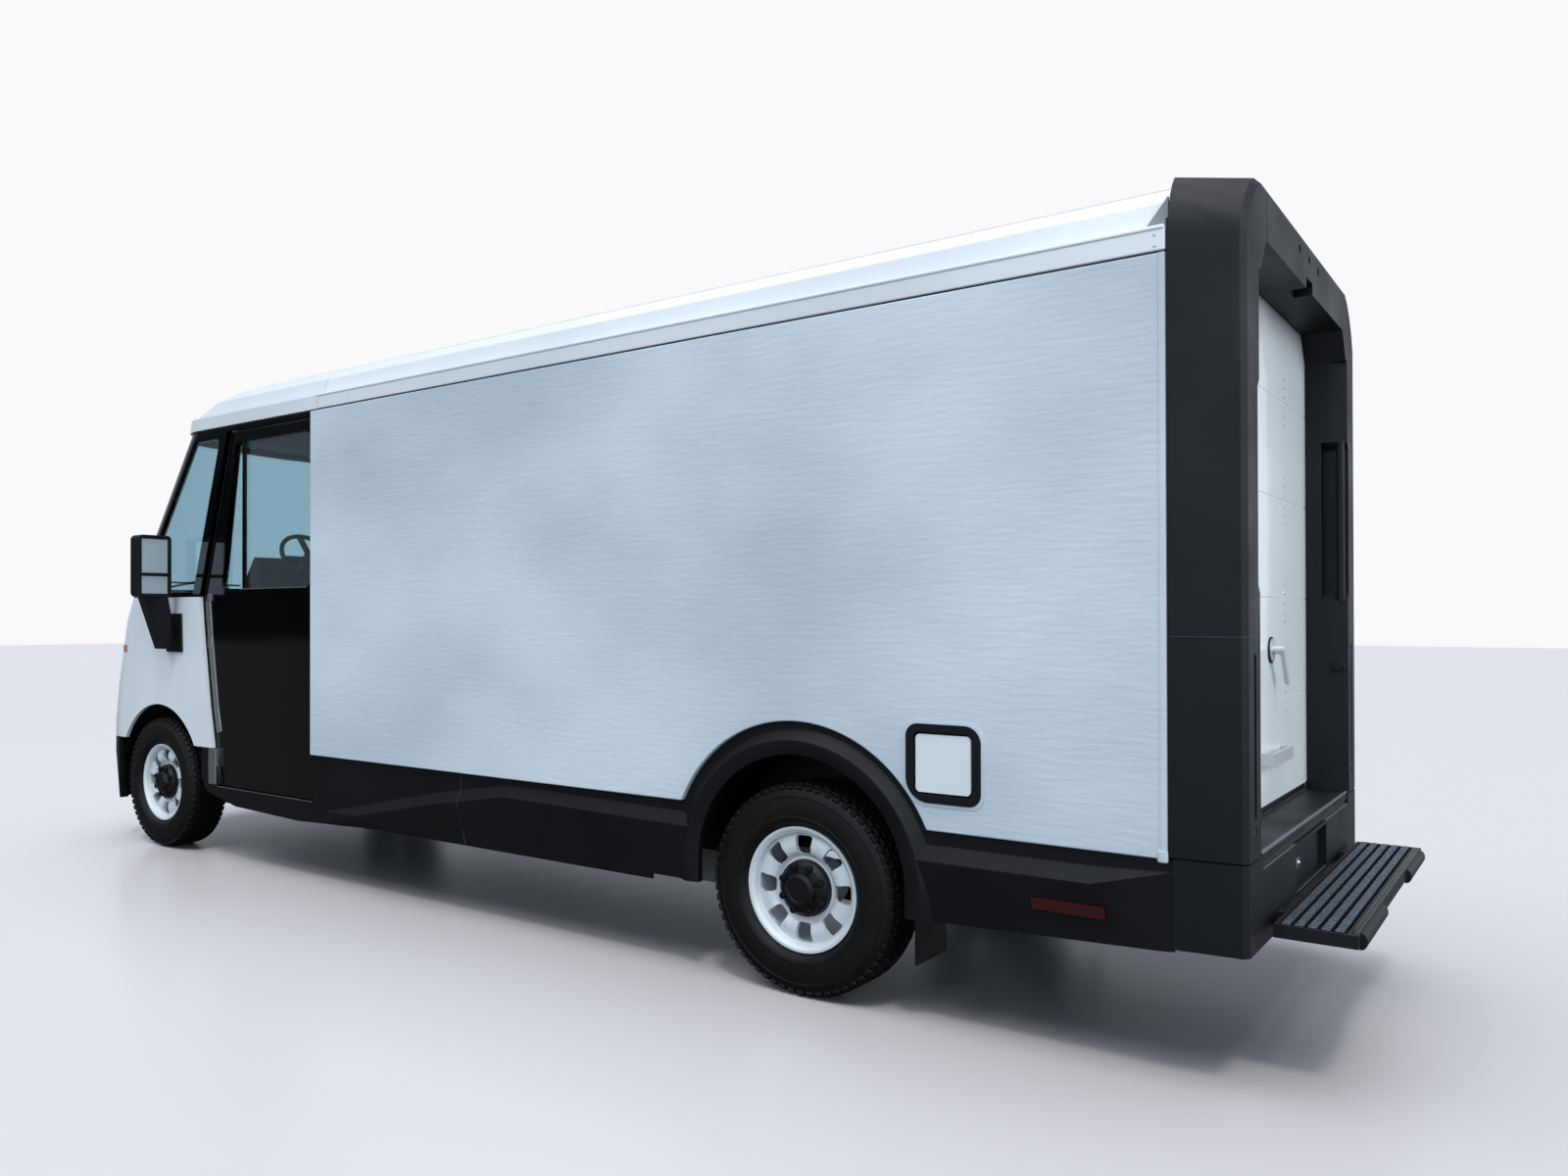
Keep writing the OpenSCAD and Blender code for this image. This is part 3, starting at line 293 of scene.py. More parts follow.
def round_edges(obj, width, segments=2, angle=28):
    """Rounds every edge sharper than the angle."""
    return apply_modifier(obj, "BEVEL", width=width, segments=segments, limit_method="ANGLE",
                          angle_limit=math.radians(angle), use_clamp_overlap=True, miter_outer="MITER_ARC")


def in_edit(obj):
    """Opens an object in edit mode with all of it selected."""
    pick(obj)
    bpy.ops.object.mode_set(mode="EDIT")
    bpy.ops.mesh.select_all(action="SELECT")


def out_of_edit():
    bpy.ops.object.mode_set(mode="OBJECT")


def smooth(obj, angle):
    """Smooth shading that keeps flat faces flat and edges past the angle sharp."""
    pick(obj)
    bpy.ops.object.shade_smooth_by_angle(angle=math.radians(angle))
    apply_modifier(obj, "WEIGHTED_NORMAL", keep_sharp=True)


def publish(obj, name, mat, body=VAN, angle=32, stands_for=()):
    """Names a finished piece, gives it its finish and its body, and hides the imported nodes it stands for.
    """
    obj.name = name
    obj.data.name = name
    obj.data.materials.clear()
    obj.data.materials.append(mat)
    smooth(obj, angle)
    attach(obj, body)
    if stands_for:
        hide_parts(*stands_for)
    return obj


def copy_of(obj):
    twin = bpy.data.objects.new(obj.name, obj.data.copy())
    bpy.context.collection.objects.link(twin)
    twin.matrix_world = obj.matrix_world.copy()
    return twin


def join(objs):
    bpy.ops.object.select_all(action="DESELECT")
    for o in objs:
        o.select_set(True)
    bpy.context.view_layer.objects.active = objs[0]
    if len(objs) > 1:
        bpy.ops.object.join()
    return objs[0]


def block(lo, hi, bevel=0.0, segments=2):
    """Box between two corners."""
    lo, hi = Vector(lo), Vector(hi)
    bpy.ops.mesh.primitive_cube_add(size=1, location=(lo + hi) / 2)
    obj = bpy.context.object
    obj.scale = (abs(hi[0] - lo[0]), abs(hi[1] - lo[1]), abs(hi[2] - lo[2]))
    settle(obj)
    if bevel:
        round_edges(obj, bevel, segments)
    return obj


def across(inset, y0, y1, z0, z1, bevel=0.0):
    """Strip across the rear opening, its ends held in from the posts."""
    return block((inset - OPENING, y0, z0), (OPENING - inset, y1, z1), bevel)


def rod(a, b, radius, sides=24, bevel=0.0):
    """Cylinder from a to b."""
    a, b = Vector(a), Vector(b)
    span = b - a
    bpy.ops.mesh.primitive_cone_add(vertices=sides, radius1=radius, radius2=radius, depth=span.length,
                                    location=(a + b) / 2, rotation=span.to_track_quat("Z", "Y").to_euler())
    obj = settle(bpy.context.object)
    if bevel:
        round_edges(obj, bevel, 2)
    return obj


def bar(a, b, wide, thick, bevel=0.0):
    """Straight strip from a to b: wide across its length in the side view, thick along X."""
    a, b = Vector(a), Vector(b)
    span = b - a
    obj = block((-thick / 2, -wide / 2, 0), (thick / 2, wide / 2, span.length), bevel, 1)
    obj.rotation_euler = span.to_track_quat("Z", "Y").to_euler()
    obj.location = a
    return settle(obj)


def ribbon(points, x, wide, thick):
    """Flat strips along (y, z) points in a side face, each a little long so that the corners close."""
    pieces = []
    for (y0, z0), (y1, z1) in zip(points, points[1:]):
        a, b = Vector((x, y0, z0)), Vector((x, y1, z1))
        span = b - a
        piece = block((-thick / 2, -wide / 2, 0), (thick / 2, wide / 2, span.length + 0.004), 0.0012, 1)
        piece.rotation_euler = (math.atan2(-span[1], span[2]), 0, 0)
        piece.location = a
        pieces.append(settle(piece))
    return join(pieces)


def lathe(profile, sides):
    """Revolves (x, radius) points about the X axis by pulling a ring of vertices along them."""
    x, r = profile[0]
    bpy.ops.mesh.primitive_circle_add(vertices=sides, radius=r, location=(x, 0, 0),
                                      rotation=(0, math.pi / 2, 0))
    obj = settle(bpy.context.object)
    in_edit(obj)
    for nx, nr in profile[1:]:
        bpy.ops.mesh.extrude_edges_move(TRANSFORM_OT_translate={"value": (nx - x, 0, 0)})
        bpy.ops.transform.resize(value=(1, nr / r, nr / r), center_override=(nx, 0, 0))
        x, r = nx, nr
    bpy.ops.mesh.select_all(action="SELECT")
    bpy.ops.mesh.remove_doubles(threshold=0.00005)
    bpy.ops.mesh.normals_make_consistent(inside=False)
    out_of_edit()
    return obj


def repeat_row(obj, count, step):
    """Array along a vector."""
    return apply_modifier(obj, "ARRAY", count=count, use_relative_offset=False, use_constant_offset=True,
                          constant_offset_displace=step)


def repeat_ring(obj, count):
    """Array round the X axis through the origin."""
    turn = bpy.data.objects.new("turn", None)
    bpy.context.collection.objects.link(turn)
    turn.rotation_euler = (2 * math.pi / count, 0, 0)
    bpy.context.view_layer.update()
    apply_modifier(obj, "ARRAY", count=count, use_relative_offset=False, use_object_offset=True,
                   offset_object=turn)
    bpy.data.objects.remove(turn)
    return obj


def mirrored(obj):
    """A copy on the other side of the centre plane, with its normals outward."""
    twin = copy_of(obj)
    twin.scale = (-1, 1, 1)
    settle(twin)
    in_edit(twin)
    bpy.ops.mesh.normals_make_consistent(inside=False)
    out_of_edit()
    return twin


def both(obj):
    return join([obj, mirrored(obj)])


def carve(obj, tool, operation="DIFFERENCE"):
    """Cuts one solid out of another, or keeps what they share, and uses the tool up."""
    apply_modifier(obj, "BOOLEAN", operation=operation, object=tool, solver="EXACT")
    bpy.data.objects.remove(tool)
    return obj


def node_copy(node, dissolve=True):
    """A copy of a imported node's mesh as clean faces, ready for bevels."""
    source = NODES[node]
    obj = bpy.data.objects.new(node + "_copy", source.data.copy())
    bpy.context.collection.objects.link(obj)
    obj.matrix_world = source.matrix_world.copy()
    settle(obj)
    if obj.data.has_custom_normals:
        bpy.ops.mesh.customdata_custom_splitnormals_clear()
    in_edit(obj)
    bpy.ops.mesh.remove_doubles(threshold=0.00002)
    if dissolve:
        bpy.ops.mesh.dissolve_limited(angle_limit=math.radians(0.4))
    out_of_edit()
    return obj


def dressed(node, mat, width, body=VAN, segments=2, angle=28, cutter=None, dissolve=True):
    """The node itself with rounded edges and clean shading, shown in the node's place."""
    obj = node_copy(node, dissolve)
    if cutter:
        carve(obj, cutter)
    if width:
        round_edges(obj, width, segments, angle)
    return publish(obj, node + "_skin", mat, body, 40, (node,))


def give(mat, *names):
    """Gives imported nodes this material."""
    for name in names:
        mesh = NODES[name].data
        mesh.materials.clear()
        mesh.materials.append(mat)


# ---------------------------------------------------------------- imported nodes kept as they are

give(white_paint, "charge_flap")
give(sheet_alloy, "inner_wall_left", "inner_wall_right", "bulkhead")
give(glass, "windshield", "quarter_glass", "door_glass_left", "door_glass_right")
give(chassis_black, "chassis_rails", "front_rails", "front_subframe", "rear_axle")
give(cast_alloy, "battery_pack", "drive_units", "knuckle_left", "knuckle_right")
give(trim_black, "wheelhouses", "mudflaps")
give(interior, "cab_floor")
give(floor_ply, "cargo_floor")
give(red_lens, "rear_lamps")
give(clear_lens, "front_lamps")


# ---------------------------------------------------------------- body panels with rounded edges

for side in SIDES:
    dressed("side_panel_" + side, panel_skin, 0.006, segments=3)
dressed("roof", white_paint, 0.006, segments=3, angle=12)
dressed("cab_roof", white_paint, 0.004, angle=24)
# The nose keeps its packed faces: merged ones leave slivers at the hood's slot
dressed("front_body", white_paint, 0, dissolve=False)
dressed("hood", white_paint, 0.003, "hood_lid", angle=40)
dressed("front_bumper", cladding_plastic, 0.004, angle=40)
dressed("cab_frame", black_gloss, 0.003, angle=40)
for side in SIDES:
    dressed("door_" + side, black_gloss, 0.004, side + "_door")
for side in SIDES:
    dressed("cladding_" + side, cladding_plastic, 0.005, segments=3, angle=14)
dressed("charge_port", black_plastic, 0.003)
dressed("mirrors", trim_black, 0.006, segments=3)
dressed("dashboard", interior, 0.006)
dressed("rear_door", door_white, 0.002)
dressed("rear_door_handles", bright_zinc, 0.003)
dressed("rear_step", step_steel, 0.0012, segments=1)


# ---------------------------------------------------------------- tail frame

SEAM_Z = SILL + 0.663           # joint between the upper and lower covers of the posts
POST_SIDE = HALF - 0.0215       # groove in the post's side, at its rear chamfer
POST_BACK = HALF - 0.038        # where that chamfer meets the rear face
CHAMFER_Y = TAIL - 0.018
RECESS_HALF = 0.286             # half width of the plate recess
LEDGE_END = 0.292
LEDGE_Z = 0.65
BAND_LOW, BAND_HIGH = 0.653, 0.692
SHELF_LOW, SHELF_HIGH = 0.474, 0.484
LATCH_X, LATCH_Z = 0.16, 0.564

for node in ("rear_post_left", "rear_post_right", "rear_header"):
    dressed(node, black_plastic, 0.006, segments=3)
dressed("rear_sill", black_plastic, 0.005, segments=3)

# Seam of the moulded covers, round each post half way up, drawn as a lighter line: a painted highlight on the
# seam's edge
marks = [bar((HALF + 0.0002, PORTAL + 0.003, SEAM_Z), (POST_SIDE - 0.0003, CHAMFER_Y, SEAM_Z), 0.002, 0.002),
         bar((POST_SIDE, CHAMFER_Y, SEAM_Z), (POST_BACK, TAIL - 0.0005, SEAM_Z), 0.002, 0.002),
         bar((POST_BACK, TAIL, SEAM_Z), (OPENING + 0.03, TAIL, SEAM_Z), 0.002, 0.002)]
publish(both(join(marks)), "tail_seam_marks", seam_highlight_grey)

# Sill: ribbed tread plate with a worn nosing, and a scuffed band with a ledge under it
plate = across(0.006, DOOR_FACE + 0.006, TAIL - 0.012, SILL - 0.002, SILL + 0.0012)
rib = across(0.02, DOOR_FACE + 0.012, DOOR_FACE + 0.015, SILL + 0.001, SILL + 0.0025)
ribs = repeat_row(rib, 13, (0, 0.0095, 0))
publish(join([plate, ribs]), "sill_tread_plate", trim_black)
publish(across(0.004, TAIL - 0.013, TAIL - 0.003, SILL - 0.006, SILL + 0.0015, 0.002),
        "sill_nosing", worn_edge)
publish(across(0.004, TAIL - 0.0135, TAIL - 0.0108, BAND_LOW, BAND_HIGH, 0.001),
        "sill_band", sill_band)
ledges = [block((x0, TAIL - 0.011, LEDGE_Z - 0.004), (x1, TAIL - 0.0006, LEDGE_Z + 0.0016), 0.0012)
          for x0, x1 in ((0.004 - OPENING, -LEDGE_END), (LEDGE_END, OPENING - 0.004))]
publish(join(ledges), "lower_panel_ledges", worn_edge)

# Plate recess: a shelf across it with a worn front edge, and a small bright latch
publish(block((-RECESS_HALF, TAIL - 0.0262, SHELF_LOW), (RECESS_HALF, TAIL - 0.004, SHELF_HIGH), 0.002),
        "recess_shelf", trim_black)
publish(block((-RECESS_HALF, TAIL - 0.0042, SHELF_LOW + 0.005),
              (RECESS_HALF, TAIL - 0.0026, SHELF_HIGH + 0.0005), 0.0006),
        "recess_shelf_edge", worn_edge)
latch = join([block((LATCH_X - 0.025, TAIL - 0.0262, LATCH_Z - 0.016),
                    (LATCH_X + 0.025, TAIL - 0.016, LATCH_Z + 0.016), 0.003),
              rod((LATCH_X, TAIL - 0.018, LATCH_Z), (LATCH_X, TAIL - 0.011, LATCH_Z), 0.009, 24, 0.002)])
publish(latch, "recess_latch", edge_alloy)

# Two rows of drain holes along the step's outer strip
DRAIN_X, DRAIN_Y = -0.79, STEP_END - 0.0355
drain = rod((DRAIN_X, DRAIN_Y, STEP_TOP - 0.0045), (DRAIN_X, DRAIN_Y, STEP_TOP - 0.0036), 0.0048, 12)
drains = repeat_row(repeat_row(drain, 2, (0, 0.0105, 0)), 64, (0.025, 0, 0))
publish(drains, "step_drain_holes", black_gloss)

# Header seams near its corners, drawn as lighter lines that paint a highlight on their edges, and the camera
# over the opening
HEADER_SEAM_X = 0.708
CAMERA_Z = ROOF_TOP - 0.113
mark = bar((HEADER_SEAM_X, TAIL + 0.0002, ROOF_TOP - 0.18), (HEADER_SEAM_X, TAIL - 0.0004, ROOF_TOP - 0.03),
           0.0016, 0.0016)
publish(both(mark), "header_seam_marks", seam_highlight_grey)
publish(rod((0, TAIL - 0.03, CAMERA_Z), (0, TAIL - 0.008, CAMERA_Z), 0.012, 24, 0.002),
        "reversing_camera", screen_glass)


# ---------------------------------------------------------------- wheels and tyres

# Half of the tyre's outer line, as (x from its middle, radius) from bead to crown
TYRE_LINE = [(0.081, 0.2175), (0.089, 0.2375), (0.1, 0.2437), (0.1115, 0.253), (0.1185, 0.2635),
             (0.1193, 0.27), (0.1216, 0.2712), (0.1216, 0.2745), (0.1206, 0.276), (0.1222, 0.295),
             (0.1218, 0.314), (0.1196, 0.333), (0.1168, 0.347), (0.1186, 0.3485), (0.1184, 0.3515),
             (0.1158, 0.353), (0.1115, 0.366), (0.105, 0.378), (0.097, 0.3868), (0.085, 0.3905),
             (0.05, 0.3915)]
# Rows of tread blocks: x, width and shift round the tyre in parts of a pitch
TREAD_ROWS = ((-0.066, 0.030, 0.5), (-0.033, 0.027, 0.0), (0.0, 0.028, 0.5), (0.033, 0.027, 0.0),
              (0.066, 0.030, 0.5))
TREAD_COUNT = 60
COVER_LINE = [(-0.047, 0.1085), (-0.0225, 0.1052), (-0.012, 0.0925), (-0.008, 0.0885), (-0.003, 0.0672),
              (0.0128, 0.0612), (0.0188, 0.0515), (0.02, 0.046), (0.017, 0.043), (0.0172, 0.0002)]
NUT_COUNT = 8
NUT_R = 0.086
WINDOW_COUNT = 8
WINDOW_IN, WINDOW_OUT = 0.129, 0.199


def tyre_piece():
    """Carcass with moulded sidewall rings, five rows of tread blocks and two of shoulder lugs."""
    profile = TYRE_LINE + [(-x, r) for x, r in reversed(TYRE_LINE)] + [TYRE_LINE[0]]
    parts = [lathe(profile, 120)]
    for x, wide, shift in TREAD_ROWS:
        tread = block((x - wide / 2, -0.0172, 0.385), (x + wide / 2, 0.0172, WHEEL_R - 0.0002), 0.0022, 1)
        tread.rotation_euler = (shift * 2 * math.pi / TREAD_COUNT, 0, 0)
        parts.append(repeat_ring(settle(tread), TREAD_COUNT))
    for side in (-1, 1):
        x = side * 0.0975
        lug = block((x - 0.0125, -0.0145, 0.366), (x + 0.0125, 0.0145, 0.391), 0.003, 1)
        lug.rotation_euler = (0, side * math.radians(24), 0)
        settle(lug)
        centre = sum((v.co for v in lug.data.vertices), Vector()) / len(lug.data.vertices)
        lug.location = Vector((side * 0.0955, 0, 0.3805)) - centre
        parts.append(repeat_ring(settle(lug), TREAD_COUNT))
    return join(parts)


def hub_cover():
    """Domed black cover with a moulded cap over each wheel nut, outer face at x = 0."""
    dome = lathe(COVER_LINE, 64)
    cap = rod((-0.032, 0, NUT_R), (0.0055, 0, NUT_R), 0.0145, 24, 0.004)
    nut = rod((0.0, 0, NUT_R), (0.0085, 0, NUT_R), 0.0085, 6, 0.0015)
    caps = repeat_ring(join([cap, nut]), NUT_COUNT)
    caps.rotation_euler = (math.pi / NUT_COUNT, 0, 0)
    return join([dome, settle(caps)])


def window_cutter():
    """Ring of holes with round corners, narrower towards the hub: the disc's windows at full size."""
    hole = round_edges(block((-0.075, -0.04, WINDOW_IN), (-0.006, 0.04, WINDOW_OUT)), 0.014, 3)
    for v in hole.data.vertices:
        v.co[1] *= 0.7 + 0.26 * (v.co[2] - WINDOW_IN) / (WINDOW_OUT - WINDOW_IN)
    return repeat_ring(hole, WINDOW_COUNT)


def at_wheel(obj, sign, x, y):
    """Moves a wheel piece made at the origin to its axle, turned round for the right side."""
    obj.location = (sign * x, y, WHEEL_R)
    obj.rotation_euler = (0, 0, 0 if sign > 0 else math.pi)
    return settle(obj)


tyre_model = tyre_piece()
cover_model = hub_cover()
for end, y in (("front", FRONT_AXLE), ("rear", REAR_AXLE)):
    for side, sign in (("left", 1), ("right", -1)):
        where = end + "_" + side
        body = "wheel_" + where + "_body"
        holes = at_wheel(window_cutter(), sign, WHEEL_FACE, y)
        dressed("wheel_" + where, wheel_white, 0.002, body, angle=35, cutter=holes)
        publish(at_wheel(copy_of(tyre_model), sign, TYRE_MID, y), "tread_and_sidewalls_" + where,
                tyre_rubber, body, 30, ("tyre_" + where,))
        publish(at_wheel(copy_of(cover_model), sign, WHEEL_FACE, y), "hub_cover_" + where,
                trim_black, body, 30)
for model in (tyre_model, cover_model):
    bpy.data.objects.remove(model)


# ---------------------------------------------------------------- load box trim

# Proud strip down the rear edge of each side panel, its corner cap and the seal behind it
strip = block((HALF - 0.004, PANEL_END - 0.021, PANEL_LOW + 0.006),
              (HALF + 0.0025, PANEL_END - 0.001, RAIL_LOW - 0.002), 0.002)
cap = block((HALF - 0.012, PANEL_END - 0.03, PANEL_LOW - 0.012),
            (HALF + 0.004, PANEL_END + 0.002, PANEL_LOW + 0.03), 0.008, 4)
publish(both(join([strip, cap])), "panel_rear_edge_strips", panel_skin)
seal = block((HALF - 0.03, PANEL_END + 0.0005, PANEL_LOW + 0.01),
             (HALF - 0.006, PORTAL - 0.0005, RAIL_LOW + 0.1))
publish(both(seal), "portal_seals", trim_black)

# Dark shadow gap under the cant rail, and a white ledge along its top
gap = block((HALF - 0.02, PANEL_FRONT + 0.004, RAIL_LOW - 0.0026),
            (HALF - 0.0015, PANEL_END, RAIL_LOW + 0.0026))
publish(both(gap), "rail_shadow_seals", trim_black)
ledge = block((HALF - 0.04, PANEL_FRONT + 0.06, RAIL_TOP - 0.006),
              (HALF + 0.003, PANEL_END - 0.002, RAIL_TOP + 0.01), 0.006, 3)
publish(both(ledge), "rail_ledges", white_paint)

# Three-cornered closing plate where roof band and tail frame meet: its upper front edge is pulled down
gusset = block((HALF - 0.055, PANEL_END - 0.07, RAIL_TOP + 0.012),
               (HALF - 0.042, PANEL_END - 0.002, RAIL_TOP + 0.105))
in_edit(gusset)
bpy.ops.mesh.select_all(action="DESELECT")
out_of_edit()
for v in gusset.data.vertices:
    v.select = v.co[1] < PANEL_END - 0.05 and v.co[2] > RAIL_TOP + 0.05
bpy.ops.object.mode_set(mode="EDIT")
bpy.ops.transform.translate(value=(0, 0, -0.088))
out_of_edit()
# The plate is drawn in mid grey, darker than the white roof band next to it
publish(both(gusset), "roof_closing_plates", closing_plate_grey)
rivet = rod((HALF - 0.004, PANEL_END - 0.03, RAIL_LOW + 0.02),
            (HALF + 0.002, PANEL_END - 0.03, RAIL_LOW + 0.02), 0.005, 16, 0.002)
publish(both(repeat_row(rivet, 2, (0, 0, 0.034))), "rail_rivets", sheet_alloy)

# Joint in the cladding, down its upright strip, over its shelf and along its tucked face, drawn as a lighter
# line: a painted highlight on the joint's edge
JOINT_LINE = [(HALF - 0.0218, 0.0, 0.684), (HALF - 0.0218, 0.0, 0.606), (HALF + 0.0062, 0.0, 0.554),
              (HALF - 0.0165, 0.035, 0.356)]
joint = [bar(a, b, 0.003, 0.0016) for a, b in zip(JOINT_LINE, JOINT_LINE[1:])]
publish(both(join(joint)), "cladding_joint_marks", seam_highlight_grey)


# ---------------------------------------------------------------- sliding cab doors

# Front edge of the door in the side view, as (y, z) from the sill up to the roof
DOOR_EDGE = [(FRONT_AXLE + 0.67, 0.44), (FRONT_AXLE + 0.577, 0.895), (FRONT_AXLE + 0.509, 1.331),
             (FRONT_AXLE + 0.485, 1.559), (FRONT_AXLE + 0.777, DOOR_TOP)]
EDGE_PLATE = [(FRONT_AXLE + 0.61, 0.75), DOOR_EDGE[1], DOOR_EDGE[2], (FRONT_AXLE + 0.488, 1.52)]
# Latch fittings on that edge: y from the front axle, z, and how far each stands out
EDGE_FITTINGS = ((0.535, 0.575, 1.52, 1.565, 0.012), (0.53, 0.565, 1.4, 1.43, 0.014),
                 (0.54, 0.572, 1.24, 1.3, 0.012))
WINDOW_FOOT = 1.5875
CREASE_Z = 0.968


def door_lines(side):
    """Weatherstrip, edge plate, fittings, window edging and crease of one cab door."""
    seal = ribbon([(y + 0.012, z) for y, z in DOOR_EDGE], DOOR_OUT + 0.001, 0.012, 0.004)
    plate = ribbon([(y + 0.046, z) for y, z in EDGE_PLATE], DOOR_OUT + 0.002, 0.044, 0.006)
    latch = join([block((DOOR_OUT - 0.002, FRONT_AXLE + y0, z0), (DOOR_OUT + out, FRONT_AXLE + y1, z1), 0.004)
                  for y0, y1, z0, z1, out in EDGE_FITTINGS])
    edging = block((DOOR_OUT - 0.0015, FRONT_AXLE + 0.86, WINDOW_FOOT),
                   (DOOR_OUT + 0.0015, PANEL_FRONT - 0.1, WINDOW_FOOT + 0.004), 0.0008, 1)
    crease = block((DOOR_OUT - 0.001, FRONT_AXLE + 0.62, CREASE_Z),
                   (DOOR_OUT + 0.0012, PANEL_FRONT - 0.01, CREASE_Z + 0.0025))
    for obj, name, mat, slot in (
            (seal, "door_weatherstrip_", trim_black, "rubber"),
            (plate, "door_edge_plate_", sheet_alloy, "aluminium"),
            (latch, "door_latch_", cast_alloy, "cast_alloy"),
            (edging, "window_edging_", sheet_alloy, "aluminium"),
            (crease, "door_crease_", trim_black, "black_gloss")):
        if side == "right":
            twin = mirrored(obj)
            bpy.data.objects.remove(obj)
            obj = twin
        publish(obj, name + side, mat, side + "_door")


for side in SIDES:
    door_lines(side)

# Silver jamb under the fender, and the door's track on the sill
jamb = join([
    block((HALF - 0.05, FRONT_AXLE + 0.575, 0.442), (HALF - 0.018, FRONT_AXLE + 0.655, 0.652), 0.004),
    block((HALF - 0.034, FRONT_AXLE + 0.66, 0.4315), (HALF - 0.0215, PANEL_FRONT - 0.01, 0.4345), 0.001)])
publish(both(jamb), "door_jamb_trims", sheet_alloy)


# ---------------------------------------------------------------- mirrors, lamps and wipers

# A large flat glass over a small wide-angle one, on the rear face of each mirror's housing
MIRROR_IN, MIRROR_OUT = 1.08, 1.242
MIRROR_FACE = FRONT_AXLE + 0.2515
glasses = [block((MIRROR_IN, MIRROR_FACE - 0.002, z0), (MIRROR_OUT, MIRROR_FACE + 0.001, z1), 0.0015, 1)
           for z0, z1 in ((1.692, 1.896), (1.568, 1.674))]
publish(both(join(glasses)), "mirror_glasses", mirror_glass)

# Head lamp units: three round lamps and a light bar on each side, cut to the thickness of the lenses
LAMP_Z = 0.89
AHEAD, BEHIND = NOSE - 0.1, NOSE + 0.4
units = join([rod((x, AHEAD, LAMP_Z), (x, BEHIND, LAMP_Z), 0.036, 40) for x in (0.62, 0.71, 0.8)]
             + [block((0.585, AHEAD, 0.945), (0.835, BEHIND, 0.957))])
units = carve(both(units), node_copy("front_lamps"), "INTERSECT")
units.location = (0, -0.0015, 0)
publish(settle(units), "head_lamp_units", lamp_unit)


def on_screen(x, z, off):
    """The point on the windscreen at this width and height, moved off it along its normal."""
    screen = NODES["windshield"]
    start = Vector((x, NOSE - 1.0, z)) - screen.matrix_world.translation
    _, place, normal, _ = screen.ray_cast(start, Vector((0, 1, 0)))
    return screen.matrix_world @ place + normal * off


# Wipers: a pivot, an arm and a blade each, lying along the foot of the windscreen
SCREEN_LOW = low("windshield")[2]
wipers = []
for x in (-0.72, 0.08):
    root = on_screen(x + 0.6, SCREEN_LOW + 0.03, 0.014)
    knee = on_screen(x + 0.3, SCREEN_LOW + 0.085, 0.022)
    heel = on_screen(x + 0.62, SCREEN_LOW + 0.07, 0.016)
    tip = on_screen(x, SCREEN_LOW + 0.06, 0.014)
    wipers += [rod(root - Vector((0, 0, 0.01)), root + Vector((0, -0.012, 0.012)), 0.016, 24, 0.003),
               bar(root, knee, 0.014, 0.02, 0.003), bar(heel, tip, 0.012, 0.014, 0.002)]
publish(join(wipers), "wipers", trim_black)

# Amber corner lamps: a band wrapped round each corner of the nose
CORNER = (0.7, NOSE + 0.511)
wrap = rod((*CORNER, 1.202), (*CORNER, 1.248), 0.3015, 160)
carve(wrap, rod((*CORNER, 1.1), (*CORNER, 1.4), 0.295, 160))
carve(wrap, block((0.0, NOSE + 0.482, 1.1), (1.1, NOSE + 1.0, 1.4)))
carve(wrap, block((0.0, NOSE, 1.1), (0.93, NOSE + 0.6, 1.4)))
publish(both(wrap), "corner_lamps", amber_lens)

# Raised lip round the charge port, in the port's own outline
PORT_Y, PORT_Z = middle("charge_port", 1), middle("charge_port", 2)
PORT_HOLE = 0.12
flange = node_copy("charge_port")
carve(flange, block((HALF - 0.2, PORT_Y - PORT_HOLE, PORT_Z - PORT_HOLE),
                    (HALF - 0.001, PORT_Y + PORT_HOLE, PORT_Z + PORT_HOLE)))
in_edit(flange)
bpy.ops.transform.resize(value=(0.06, 1.075, 1.075), center_override=(HALF + 0.0025, PORT_Y, PORT_Z))
out_of_edit()
publish(flange, "charge_port_flange", panel_skin)


# ---------------------------------------------------------------- roll-up door hardware

PANEL_COUNT = 5
FOOT = SILL + 0.026             # lower edge of the lowest panel
PANEL_H = (high("rear_door")[2] - 0.01 - SILL + 0.026) / PANEL_COUNT
HANDLE_X, HANDLE_Z = -0.1, 1.298
BUTTON_Y, BUTTON_Z = TAIL - 0.03, 1.22

# Rivets: a few by the door's lower corners, then two columns on either side of each panel joint
rivets = [(x, SILL + 0.03 + dz) for x in (-0.74, 0.74) for dz in (0.03, 0.06, 0.14)]
for i in range(1, PANEL_COUNT):
    rivets += [(x, FOOT + i * PANEL_H + dz) for x in (-0.36, 0.36)
               for dz in (-0.09, -0.055, -0.02, 0.02, 0.055, 0.09)]
first = rod((0, DOOR_FACE - 0.001, 0), (0, DOOR_FACE + 0.0025, 0), 0.005, 12, 0.0012)
studs = []
for x, z in rivets:
    twin = copy_of(first)
    twin.location = (x, 0, z)
    studs.append(settle(twin))
bpy.data.objects.remove(first)
publish(join(studs), "shutter_rivets", sheet_alloy)

